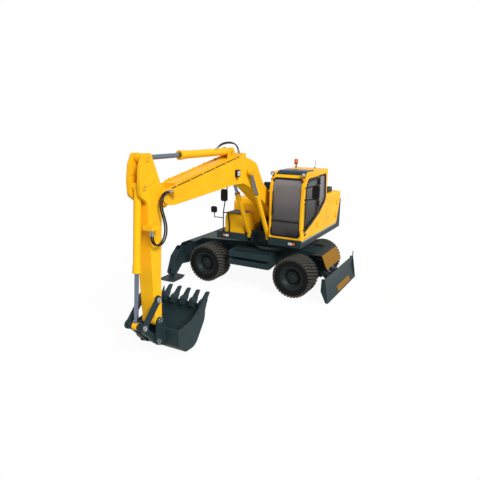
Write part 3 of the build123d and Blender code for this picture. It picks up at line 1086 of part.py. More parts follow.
def stick_cylinder_nodes():
    """Arm cylinder on top of the boom."""
    def at(point):
        return (0, -point[0], point[1])
    head = toward(STICK_BASE, STICK_EYE, STICK_BARREL_LENGTH)
    barrel = bar(at(STICK_BASE), at(head), STICK_BARREL) + boom_pin(STICK_BASE, -74, 74, 80)
    barrel = barrel - boom_pin(STICK_BASE, -100, 100, PIN_RADIUS + RUNNING_GAP)
    barrel = barrel - bar(at(toward(STICK_BASE, STICK_EYE, 130)), at(STICK_EYE), STICK_ROD + RUNNING_GAP)
    for x, route in BOOM_HOSES:
        barrel = barrel + fitting(x, route[-1], route[-2])
    write("arm_cylinder_barrel", barrel)
    rod = bar(at(toward(STICK_BASE, STICK_EYE, 900)), at(STICK_EYE), STICK_ROD)
    write("arm_cylinder_rod", rod + boom_pin(STICK_EYE, -70, 70, 78))


def arm_node():
    """Arm: box, tail plates and the seats of the bucket linkage."""
    points = [(5150, 2780), (5140, 3200), (5330, 3640), (5390, 3785), (5560, 3785), (5660, 3600),
              (5700, 3330), (5690, 3080), (5520, 2960), (5510, 2500), (5450, 1000), (5420, 700),
              (5280, 700),
              (5240, 860), (5230, 1600)]
    radii = [150, 60, 100, 60, 60, 120, 200, 90, 90, 300, 60, 60, 60, 60, 300]
    face = outline(points, radii)
    body = boom_plate(face, -ARM_HALF, ARM_HALF)
    inside = offset(face, amount=-ARM_PLATE - 4) & (Pos(5400, 2010) * Rectangle(900, 1460))
    body = body - boom_plate(inside, -ARM_HALF + ARM_PLATE, ARM_HALF - ARM_PLATE)
    body = body + boom_pin(ARM_PIVOT, -ARM_HALF, ARM_HALF, 165)
    body = body - boom_pin(ARM_PIVOT, -ARM_HALF - 5, ARM_HALF + 5, PIN_RADIUS + 5 + RUNNING_GAP)
    gate = [(5000, 3330), (5290, 3330), (5420, 3420), (5800, 3420), (5800, 4000), (5000, 4000)]
    body = body - boom_plate(outline(gate), -80, 80)
    seat = [(5500, 2900), (5900, 2900), (5900, 3420), (5480, 3420), (5480, 3100)]
    body = body - boom_plate(outline(seat), -85, 85)
    body = body + boom_pin(TIP_BASE, -ARM_HALF, ARM_HALF, PIN_RADIUS)
    body = body + boom_pin(LEVER_PIVOT, -ARM_HALF - 62, ARM_HALF + 62, PIN_RADIUS)
    body = body + boom_pin(BUCKET_PIN, -ARM_HALF, ARM_HALF, 105)
    body = body - boom_pin(BUCKET_PIN, -ARM_HALF - 5, ARM_HALF + 5, PIN_RADIUS + RUNNING_GAP)
    reach, height = ARM_HOSE[-1]
    clamp = outline([(5450, height + 25), (reach + 45, height + 25), (reach + 45, height + 105),
                     (5450, height + 105)])
    body = body + boom_plate(clamp, ARM_HALF - 30, ARM_HOSE_X[1] + 35)
    for x in ARM_HOSE_X:
        body = body + fitting(x, ARM_HOSE[-1], ARM_HOSE[-2])
    doubler = [(5290, 3330), (5350, 3480), (5420, 3640), (5530, 3640), (5600, 3480), (5620, 3260),
               (5480, 3240)]
    for low in (-ARM_HALF - 8, ARM_HALF - 2):
        body = body + boom_plate(outline(doubler, 40), low, low + 10)
    write("arm", body)


def hose_nodes():
    """Hoses from the boom's top to the arm cylinder, and the pair that loops past the arm's pivot."""
    write("boom_hoses", *[tube([(x, -r, z) for r, z in route], HOSE_RADIUS) for x, route in BOOM_HOSES])
    write("arm_hoses", *[tube([(x, -r, z) for r, z in ARM_HOSE], HOSE_RADIUS) for x in ARM_HOSE_X])


def tip_cylinder_nodes():
    """Bucket cylinder on the front of the arm."""
    def at(point):
        return (0, -point[0], point[1])
    head = toward(TIP_BASE, TIP_EYE, TIP_BARREL_LENGTH)
    barrel = bar(at(TIP_BASE), at(head), TIP_BARREL) + boom_pin(TIP_BASE, -78, 78, 70)
    barrel = barrel - boom_pin(TIP_BASE, -100, 100, PIN_RADIUS + RUNNING_GAP)
    barrel = barrel - bar(at(toward(TIP_BASE, TIP_EYE, 130)), at(TIP_EYE), TIP_ROD + RUNNING_GAP)
    write("bucket_cylinder_barrel", barrel)
    rod = bar(at(toward(TIP_BASE, TIP_EYE, 930)), at(TIP_EYE), TIP_ROD)
    write("bucket_cylinder_rod", rod + boom_pin(TIP_EYE, -50, 50, 68))


def linkage_nodes():
    """Levers and push link between the arm and the bucket."""
    levers = []
    for x0 in (-ARM_HALF - 57, ARM_HALF + 12):
        lever = boom_plate(disc(LEVER_PIVOT, 80) + disc(TIP_EYE, 82) + link_face(LEVER_PIVOT, TIP_EYE, 62),
                           x0, x0 + 45)
        lever = lever - boom_pin(LEVER_PIVOT, x0 - 5, x0 + 50, PIN_RADIUS + RUNNING_GAP)
        inner = 62 if x0 > 0 else -62
        lever = lever + boom_pin(TIP_EYE, *sorted((inner, x0 + 20)), PIN_RADIUS - 5)
        levers.append(lever)
    write("bucket_levers", *levers)
    links = []
    for x0 in (-ARM_HALF + 10, 70):
        links.append(boom_plate(disc(TIP_EYE, 75) + disc(BUCKET_EYE, 62) + link_face(TIP_EYE, BUCKET_EYE,
                                                                                     55), x0, x0 + 70))
    web_low, web_high = toward(TIP_EYE, BUCKET_EYE, 220), toward(TIP_EYE, BUCKET_EYE, 400)
    web = boom_plate(link_face(web_low, web_high, 35), -ARM_HALF + 20, ARM_HALF - 20)
    link = joined(links[0], web, links[1], boom_pin(BUCKET_EYE, -ARM_HALF + 5, ARM_HALF - 5, PIN_RADIUS))
    write("bucket_link", link - boom_pin(TIP_EYE, -ARM_HALF, ARM_HALF, PIN_RADIUS - 5 + RUNNING_GAP))


def link_face(start, end, half_width):
    """Straight bar face between two points."""
    length = math.dist(start, end)
    nx, ny = -(end[1] - start[1]) / length * half_width, (end[0] - start[0]) / length * half_width
    return outline([(start[0] + nx, start[1] + ny), (end[0] + nx, end[1] + ny),
                    (end[0] - nx, end[1] - ny), (start[0] - nx, start[1] - ny)])


def bucket_node():
    """Digging bucket: curved shell, side plates with cutters, ears and tapered teeth."""
    outer = [(4330, 1000), (4360, 500), (4700, 60), (5040, 60), (5225, 240), (5235, 560)]
    face = outline(outer, [0, 350, 260, 200, 120, 0])
    body = boom_plate(face, -BUCKET_HALF, BUCKET_HALF)
    inside = [(4300, 1100), (4360 + BUCKET_SHELL, 500), (4700, 60 + BUCKET_SHELL),
              (5040, 60 + BUCKET_SHELL),
              (5225 - BUCKET_SHELL, 240), (5235 - BUCKET_SHELL, 700)]
    side = BUCKET_HALF - BUCKET_SIDE
    hollow = boom_plate(outline(inside, [0, 330, 240, 180, 100, 0]), -side, side)
    body = body - hollow
    mouth = [(4320, 1010), (4420, 860), (4800, 620), (5310, 560), (5310, 1200), (4320, 1200)]
    body = body - boom_plate(outline(mouth, [0, 200, 500, 0, 0, 0]), -BUCKET_HALF - 5, BUCKET_HALF + 5)
    cutter = [(4345, 900), (4390, 800), (4560, 660), (4610, 720), (4440, 865)]
    for low in (-BUCKET_HALF - CUTTER, BUCKET_HALF - 2):
        body = body + boom_plate(outline(cutter, [20, 20, 20, 20, 20]), low, low + CUTTER + 2)
    (ex, ez), (px, pz) = BUCKET_EYE, BUCKET_PIN
    ear = [(5170, 200), (ex + 80, ez - 40), (ex + 85, ez + 60), (px + 95, pz), (px, pz + 95), (px - 95, pz),
           (5170, 480)]
    ears = [boom_plate(outline(ear, [0, 40, 60, 60, 90, 60, 0]), x0, x0 + 40)
            for x0 in (-ARM_HALF - SIDE_GAP - 42, ARM_HALF + SIDE_GAP + 2)]
    body = joined(body, *[part - hollow for part in ears])
    body = body + boom_pin(BUCKET_PIN, -ARM_HALF - 40, ARM_HALF + 40, PIN_RADIUS)
    shank = [(4440, 720), (4320, 690), (4285, 780), (4235, 860), (4330, 880), (4420, 860)]
    point = [(4285, 780), (4130, 985), (4190, 985), (4330, 880)]
    for index in range(TOOTH_COUNT):
        x = -BUCKET_HALF + 60 + index * (2 * BUCKET_HALF - 120) / (TOOTH_COUNT - 1)
        body = body + boom_plate(outline(shank), x - TOOTH_HALF, x + TOOTH_HALF)
        body = body + boom_plate(outline(point), x - 0.7 * TOOTH_HALF, x + 0.7 * TOOTH_HALF)
    write("bucket", body)


if __name__ == "__main__":
    os.makedirs("parts", exist_ok=True)
    wheel_nodes()
    axle_nodes()
    chassis_nodes()
    blade_nodes()
    outrigger_nodes()
    swing_frame_node()
    counterweight_node()
    engine_nodes()
    deck_box_nodes()
    fitting_nodes()
    cab_nodes()
    cab_interior_node()
    lift_cylinder_nodes()
    boom_node()
    stick_cylinder_nodes()
    arm_node()
    hose_nodes()
    tip_cylinder_nodes()
    linkage_nodes()
    bucket_node()
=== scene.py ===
"""Looks of a twin-tyred wheeled excavator: finishes, tyres, cab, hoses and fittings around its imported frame.

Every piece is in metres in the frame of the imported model: +Z up, +X towards the blade, the boom over -Y.
In the boom plane a point is (reach, height), with reach along -Y.
"""

import json
import logging
import math
from collections.abc import Callable
from dataclasses import dataclass, field
from enum import Enum
from functools import partial

import bmesh
import bpy
from bpy.types import ID, Curve, Material, Mesh, Node, NodeSocket, NodeTree, Object, Spline
from mathutils import Matrix, Vector

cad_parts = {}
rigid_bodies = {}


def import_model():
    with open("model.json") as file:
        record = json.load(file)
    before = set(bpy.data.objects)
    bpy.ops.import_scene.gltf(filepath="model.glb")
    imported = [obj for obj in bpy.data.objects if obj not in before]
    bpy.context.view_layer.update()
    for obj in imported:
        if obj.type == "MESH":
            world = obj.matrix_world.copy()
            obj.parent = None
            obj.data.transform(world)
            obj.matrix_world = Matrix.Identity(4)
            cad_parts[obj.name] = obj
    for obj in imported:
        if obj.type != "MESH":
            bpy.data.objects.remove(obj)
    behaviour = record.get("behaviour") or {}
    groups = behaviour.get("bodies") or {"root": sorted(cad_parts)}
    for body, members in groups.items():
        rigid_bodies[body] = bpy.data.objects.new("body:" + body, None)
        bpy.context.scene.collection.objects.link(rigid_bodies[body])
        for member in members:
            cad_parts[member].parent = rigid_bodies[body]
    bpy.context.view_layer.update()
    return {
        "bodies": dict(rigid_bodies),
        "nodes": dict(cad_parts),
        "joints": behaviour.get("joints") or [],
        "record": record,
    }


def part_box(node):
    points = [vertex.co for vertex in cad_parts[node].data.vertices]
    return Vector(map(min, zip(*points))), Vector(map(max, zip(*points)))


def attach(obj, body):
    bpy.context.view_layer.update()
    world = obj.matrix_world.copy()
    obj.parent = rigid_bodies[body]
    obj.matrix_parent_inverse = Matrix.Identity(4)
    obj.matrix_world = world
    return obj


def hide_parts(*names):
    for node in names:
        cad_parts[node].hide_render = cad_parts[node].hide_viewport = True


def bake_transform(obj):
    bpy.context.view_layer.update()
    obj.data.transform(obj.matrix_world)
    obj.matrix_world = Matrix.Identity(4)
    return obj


LOG = logging.getLogger("excavator")
IMAGE_PX = 480.0
SENSOR_MM = 36.0
FULL_TURN = 2 * math.pi

Point2 = tuple[float, float]
Point3 = tuple[float, float, float]
Colour = tuple[float, float, float]
Section = list[Point2]


class Slot(str, Enum):
    """Material slots of the record."""

    YELLOW = "yellow_paint"
    GREY = "grey_paint"
    CHROME = "chrome_rod"
    TYRE = "tyre_rubber"
    RIM = "rim_paint"
    GLASS = "window_glass"
    TRIM = "black_trim"
    LAMP = "lamp_lens"
    HOSE = "hose_rubber"


class Side(Enum):
    """Side of travel, with the sign of its y values."""

    LEFT = -1
    RIGHT = 1

    @property
    def word(self) -> str:
        """Plain name of the side."""
        return self.name.lower()


# Node helpers

COLOUR, FLOAT, VECTOR = "NodeSocketColor", "NodeSocketFloat", "NodeSocketVector"
GREY_DEFAULT = (0.5, 0.5, 0.5, 1)
# Places of a mix node's factor and two colours, and of its colour output
MIX_INPUTS, MIX_OUTPUT = (0, 6, 7), 2
EDGE_GAIN = 6.0
ROUGH_SPREAD = 0.16
COAT_ROUGHNESS = 0.12


def feed(tree: NodeTree, socket: NodeSocket, value: object) -> None:
    """Link an output to an input socket, or set the socket's value."""
    if isinstance(value, NodeSocket):
        tree.links.new(value, socket)
    else:
        socket.default_value = value


def add_node(tree: NodeTree, kind: str, **values: object) -> Node:
    """Add a node and set its properties or feed its input sockets.

    Args:
        tree: Tree that gets the node.
        kind: Blender's node type.
        values: Property names, or socket names with underscores for spaces.

    Returns:
        The new node.
    """
    node = tree.nodes.new(kind)
    for name, value in values.items():
        if hasattr(node, name):
            setattr(node, name, value)
        else:
            feed(tree, node.inputs[name.replace("_", " ")], value)
    return node


def math_node(tree: NodeTree, operation: str, first: object, second: object) -> NodeSocket:
    """Add a clamped math node and return its output socket."""
    node = add_node(tree, "ShaderNodeMath", operation=operation, use_clamp=True)
    for socket, value in zip(node.inputs, (first, second)):
        feed(tree, socket, value)
    return node.outputs[0]


def mix_colour(tree: NodeTree, factor: object, first: object, second: object) -> NodeSocket:
    """Add a colour mix node and return its output socket."""
    node = add_node(tree, "ShaderNodeMix", data_type="RGBA")
    for place, value in zip(MIX_INPUTS, (factor, first, second)):
        feed(tree, node.inputs[place], value)
    return node.outputs[MIX_OUTPUT]


def group_tree(name: str, kind: str, inputs: dict[str, tuple[str, object]], outputs: dict[str, str]) -> tuple:
    """Start a node group.

    Args:
        name: Name of the group.
        kind: Blender's tree type.
        inputs: Socket type and default value, or None, by input name.
        outputs: Socket type by output name.

    Returns:
        The tree, the sockets that come into it and those that go out of it.
    """
    tree = bpy.data.node_groups.new(name, kind)
    for label, (socket_type, value) in inputs.items():
        socket = tree.interface.new_socket(name=label, in_out="INPUT", socket_type=socket_type)
        if value is not None:
            socket.default_value = value
    for label, socket_type in outputs.items():
        tree.interface.new_socket(name=label, in_out="OUTPUT", socket_type=socket_type)
    return tree, tree.nodes.new("NodeGroupInput").outputs, tree.nodes.new("NodeGroupOutput").inputs


def worn_surface_group() -> NodeTree:
    """Group that ages a surface: cloudy tone, rubbed edges, dust low down, painted shade low down, grain and
    eased edges.
    """
    tree, given, out = group_tree(
        "worn_surface", "ShaderNodeTree",
        {"Colour": (COLOUR, GREY_DEFAULT), "Edge Colour": (COLOUR, GREY_DEFAULT), "Edge Amount": (FLOAT, 0.3),
         "Dust Colour": (COLOUR, (0.2, 0.17, 0.13, 1)), "Dust": (FLOAT, 0.2), "Dust Height": (FLOAT, 1.0),
         "Roughness": (FLOAT, 0.4), "Grain Scale": (FLOAT, 300.0), "Grain": (FLOAT, 0.05),
         "Edge Radius": (FLOAT, 0.008), "Fade": (FLOAT, 0.0)},
        {"Colour": COLOUR, "Roughness": FLOAT, "Normal": VECTOR})
    place = add_node(tree, "ShaderNodeTexCoord").outputs["Object"]
    noise = partial(add_node, tree, "ShaderNodeTexNoise", Vector=place)
    clouds = noise(Scale=1.7, Detail=5.0, Roughness=0.6).outputs["Fac"]
    specks = noise(Scale=23.0, Detail=6.0, Roughness=0.7).outputs["Fac"]
    grain = noise(Scale=given["Grain Scale"], Detail=2.0).outputs["Fac"]

    soft = add_node(tree, "ShaderNodeBevel", samples=4, Radius=given["Edge Radius"]).outputs["Normal"]
    turn = add_node(tree, "ShaderNodeVectorMath", operation="DOT_PRODUCT")
    feed(tree, turn.inputs[0], soft)
    feed(tree, turn.inputs[1], add_node(tree, "ShaderNodeNewGeometry").outputs["Normal"])
    edge = math_node(tree, "MULTIPLY", math_node(tree, "SUBTRACT", 1.0, turn.outputs["Value"]), EDGE_GAIN)
    edge = math_node(tree, "MULTIPLY", edge, given["Edge Amount"])
    broken = add_node(tree, "ShaderNodeMapRange", Value=specks, From_Min=0.42, From_Max=0.6)
    rubbed = math_node(tree, "MULTIPLY", edge, broken.outputs["Result"])

    height = add_node(tree, "ShaderNodeSeparateXYZ", Vector=place).outputs["Z"]
    low = add_node(tree, "ShaderNodeMapRange", Value=height, From_Min=0.0, From_Max=given["Dust Height"],
                   To_Min=1.0, To_Max=0.0).outputs["Result"]
    dusty = math_node(tree, "MULTIPLY", math_node(tree, "MULTIPLY", low, given["Dust"]), clouds)
    # Painted shade: darkens the surface towards its lower part in the dust colour; the glass finishes use it.
    painted_low_shade_mask = math_node(tree, "MULTIPLY", low, given["Fade"])

    shade = add_node(tree, "ShaderNodeMapRange", Value=clouds, From_Min=0.3, From_Max=0.7, To_Min=0.9,
                     To_Max=1.06)
    toned = add_node(tree, "ShaderNodeVectorMath", operation="SCALE", Scale=shade.outputs["Result"])
    feed(tree, toned.inputs[0], given["Colour"])
    colour = toned.outputs["Vector"]
    for mask, over in ((dusty, "Dust Colour"), (painted_low_shade_mask, "Dust Colour"), (rubbed, "Edge Colour")):
        colour = mix_colour(tree, mask, colour, given[over])
    feed(tree, out["Colour"], colour)
    spread = math_node(tree, "ADD", math_node(tree, "MULTIPLY", specks, ROUGH_SPREAD), dusty)
    rough = math_node(tree, "ADD", given["Roughness"], spread)
    feed(tree, out["Roughness"], math_node(tree, "SUBTRACT", rough, ROUGH_SPREAD / 2))
    bump = add_node(tree, "ShaderNodeBump", Distance=0.002, Strength=given["Grain"], Height=grain,
                    Normal=soft)
    feed(tree, out["Normal"], bump.outputs["Normal"])
    return tree


@dataclass(frozen=True)
class Finish:
    """A surface finish and the numbers of its worn-surface group."""

    name: str
    slot: Slot
    colour: Colour
    roughness: float = 0.4
    metallic: float = 0.0
    specular: float = 0.3
    coat: float = 0.0
    edge_colour: Colour = (0.5, 0.5, 0.5)
    edge_amount: float = 0.0
    dust: float = 0.0
    # The dust colour and height below also set the colour and reach of the painted shade low down.
    dust_colour: Colour = (0.22, 0.19, 0.15)
    dust_height: float = 1.0
    grain: float = 0.05
    grain_scale: float = 300.0
    edge_radius: float = 0.008
    alpha: float = 1.0
    # Strength of the painted shade that darkens the surface towards its lower part.
    fade: float = 0.0

    def make(self, worn: NodeTree) -> Material:
        """Build the material.

        Args:
            worn: The shared worn-surface group, whose inputs are named as the fields are.

        Returns:
            The node material.
        """
        material = bpy.data.materials.new(self.name)
        material.use_nodes = True
        tree = material.node_tree
        aged = add_node(tree, "ShaderNodeGroup", node_tree=worn)
        for socket in aged.inputs:
            value = getattr(self, socket.name.lower().replace(" ", "_"))
            socket.default_value = (*value, 1.0) if isinstance(value, tuple) else value
        values = {"Base Color": aged.outputs["Colour"], "Roughness": aged.outputs["Roughness"],
                  "Normal": aged.outputs["Normal"], "Metallic": self.metallic,
                  "Specular IOR Level": self.specular, "Coat Weight": self.coat,
                  "Coat Roughness": COAT_ROUGHNESS, "Alpha": self.alpha}
        for label, value in values.items():
            feed(tree, tree.nodes["Principled BSDF"].inputs[label], value)
        return material


YELLOW = Finish("machine_yellow", Slot.YELLOW, (0.97, 0.5, 0.009), 0.42, specular=0.1, edge_amount=0.25,
                edge_colour=(0.62, 0.42, 0.12), dust=0.1, dust_colour=(0.5, 0.36, 0.16), grain=0.03,
                edge_radius=0.012)
# Yellow paint darkened to a painted shade for the blade guard and the blade plate, with real rubbed edges and
# dust.
SHADED_YELLOW = Finish("worn_ochre", Slot.YELLOW, (0.29, 0.135, 0.01), 0.5, specular=0.08, edge_amount=0.6,
               edge_colour=(0.12, 0.1, 0.07), dust=0.35, dust_colour=(0.16, 0.12, 0.07), dust_height=1.6,
               grain=0.08)
# Pale grey that paints the highlight along the skirt's top edge.
PAINTED_HIGHLIGHT = Finish("pale_strip", Slot.TRIM, (0.3, 0.35, 0.34), 0.5, specular=0.15, edge_radius=0.002)
GREY = Finish("machine_grey", Slot.GREY, (0.015, 0.031, 0.036), 0.46, specular=0.14, edge_amount=0.5,
              edge_colour=(0.13, 0.16, 0.17), dust=0.16, dust_colour=(0.07, 0.075, 0.07), edge_radius=0.012)
RIM_GREY = Finish("rim_grey", Slot.RIM, (0.008, 0.0145, 0.017), 0.42, specular=0.14, edge_amount=0.4,
                  edge_colour=(0.1, 0.12, 0.13), dust=0.2, dust_colour=(0.06, 0.06, 0.055))
CHROME = Finish("chromed_rod", Slot.CHROME, (0.17, 0.2, 0.27), 0.2, metallic=1.0, grain=0.01,
                edge_radius=0.003)
STEEL = Finish("bare_steel", Slot.CHROME, (0.33, 0.33, 0.34), 0.38, metallic=1.0, dust=0.2, grain=0.06,
               edge_radius=0.003)
RUBBER = Finish("tyre_side", Slot.TYRE, (0.005, 0.0048, 0.0046), 0.62, specular=0.1, dust=0.08,
                dust_colour=(0.035, 0.03, 0.024), dust_height=1.4, grain=0.12, grain_scale=160.0,
                edge_radius=0.004)
TREAD = Finish("tyre_tread", Slot.TYRE, (0.045, 0.043, 0.035), 0.75, specular=0.15, edge_amount=0.8,
               edge_colour=(0.17, 0.165, 0.14), dust=0.4, dust_colour=(0.12, 0.115, 0.095), dust_height=1.6,
               grain=0.3, grain_scale=110.0, edge_radius=0.006)
BLACK = Finish("black_plastic", Slot.TRIM, (0.006, 0.006, 0.0065), 0.46, specular=0.14, edge_amount=0.4,
               edge_colour=(0.05, 0.05, 0.05), grain=0.25, grain_scale=420.0, edge_radius=0.004)
HUMP = Finish("cover_blue_black", Slot.TRIM, (0.01, 0.015, 0.024), 0.36, specular=0.08, edge_amount=0.3,
              edge_colour=(0.08, 0.09, 0.1), edge_radius=0.014)
VISOR = Finish("visor_blue_black", Slot.GLASS, (0.012, 0.034, 0.062), 0.3, specular=0.06, grain=0.02)
SEAL = Finish("window_rubber", Slot.TRIM, (0.006, 0.006, 0.006), 0.55, specular=0.2, grain=0.1,
              edge_radius=0.003)
# Both glasses are darkened towards the bottom by a painted shade in a near-black colour, below about 3.2 m.
GLASS = Finish("tinted_glass", Slot.GLASS, (0.30, 0.285, 0.295), 0.1, specular=0.25, dust_height=3.25,
               dust_colour=(0.011, 0.01, 0.011), grain=0.0, edge_radius=0.002, alpha=0.74, fade=1.8)
DOOR_GLASS = Finish("dark_door_glass", Slot.GLASS, (0.17, 0.165, 0.17), 0.1, specular=0.04, dust_height=3.2,
                    dust_colour=(0.008, 0.008, 0.009), grain=0.0, edge_radius=0.002, alpha=0.86, fade=2.3)
MIRROR = Finish("mirror_silver", Slot.TRIM, (0.75, 0.77, 0.78), 0.06, metallic=1.0, grain=0.0)
LENS = Finish("clear_lens", Slot.LAMP, (0.55, 0.55, 0.54), 0.12, coat=0.5, grain=0.3, grain_scale=70.0)
AMBER = Finish("amber_lens", Slot.LAMP, (0.66, 0.13, 0.012), 0.16, coat=0.3, grain=0.3, grain_scale=70.0)
HOSE = Finish("hose_rubber", Slot.HOSE, (0.009, 0.009, 0.009), 0.5, specular=0.25, grain=0.35,
              grain_scale=260.0, edge_radius=0.002)
FABRIC = Finish("seat_cloth", Slot.TRIM, (0.035, 0.035, 0.04), 0.85, specular=0.1, grain=0.6,
                grain_scale=500.0, edge_radius=0.004)
FINISHES = (YELLOW, SHADED_YELLOW, PAINTED_HIGHLIGHT, GREY, RIM_GREY, CHROME, STEEL, RUBBER, TREAD, BLACK, HUMP, VISOR, SEAL,
            GLASS, DOOR_GLASS, MIRROR, LENS, AMBER, HOSE, FABRIC)


# Shape helpers

YZ_PLANE = Matrix(((0, 0, 1, 0), (1, 0, 0, 0), (0, 1, 0, 0), (0, 0, 0, 1)))
FRONT_PLANE = Matrix(((1, 0, 0, 0), (0, 0, -1, 0), (0, 1, 0, 0), (0, 0, 0, 1)))
SHARP_DEG = 34
MERGE, DEGENERATE = 1e-5, 1e-6


def put(name: str, data: ID) -> Object:
    """New object of the scene."""
    made = bpy.data.objects.new(name, data)
    bpy.context.scene.collection.objects.link(made)
    return made


def take_mesh(holder: Object) -> Mesh:
    """Plain mesh of an object as its curve or its modifier makes it; the object is dropped."""
    bpy.context.view_layer.update()
    mesh = bpy.data.meshes.new_from_object(holder.evaluated_get(bpy.context.evaluated_depsgraph_get()))
    bpy.data.objects.remove(holder)
    return mesh


def curve_mesh(curve: Curve) -> Mesh:
    """Plain mesh of a curve; the curve is dropped."""
    mesh = take_mesh(put(curve.name, curve))
    bpy.data.curves.remove(curve)
    return mesh


def add_spline(curve: Curve, kind: str, places: list[Vector]) -> Spline:
    """Add a spline with its points at places."""
    spline = curve.splines.new(kind)
    spline.points.add(len(places) - 1)
    for spot, place in zip(spline.points, places):
        spot.co = (*place, 1.0)
    return spline


def rounded(points: Section, radii: float | list[float], steps: int = 7) -> Section:
    """Closed outline with its corners rounded by arcs.

    Args:
        points: Corners in order.
        radii: One radius, or one for each corner.
        steps: Points on each arc.

    Returns:
        The points of the rounded outline.
    """
    count = len(points)
    sizes = radii if isinstance(radii, list) else [radii] * count
    loop: Section = []
    for index, size in enumerate(sizes):
        corner = Vector(points[index])
        back = Vector(points[index - 1]) - corner
        ahead = Vector(points[(index + 1) % count]) - corner
        half = back.angle(ahead) / 2
        reach = min(size / math.tan(half), 0.49 * back.length, 0.49 * ahead.length)
        radius = reach * math.tan(half)
        inward = (back.normalized() + ahead.normalized()).normalized()
        centre = corner + inward * (radius / math.sin(half))
        first, last = (corner + way.normalized() * reach - centre for way in (back, ahead))
        for step in range(steps):
            share = step / (steps - 1)
            loop.append(tuple(centre + (first * (1 - share) + last * share).normalized() * radius))
    return loop


def oblong(across: Point2, along: Point2, corner: float, steps: int = 7) -> Section:
    """Rounded rectangle between two places each way."""
    (a, b), (low, high) = across, along
    return rounded([(a, low), (b, low), (b, high), (a, high)], corner, steps)


def circle(count: int) -> Section:
    """Points of the unit circle."""
    turns = (FULL_TURN * index / count for index in range(count))
    return [(math.cos(turn), math.sin(turn)) for turn in turns]


def power(value: float, exponent: float) -> float:
    """Power that keeps the sign."""
    return math.copysign(abs(value) ** exponent, value)


def boom_point(x: float, reach: float, height: float) -> Vector:
    """Point of the boom plane at an x value, in the frame."""
    return Vector((x, -reach, height))


def axis_matrix(origin: Vector, axis: Vector) -> Matrix:
    """Matrix that carries the Z axis to an axis through an origin."""
    turn = Vector((0, 0, 1)).rotation_difference(Vector(axis).normalized())
    return Matrix.Translation(origin) @ turn.to_matrix().to_4x4()


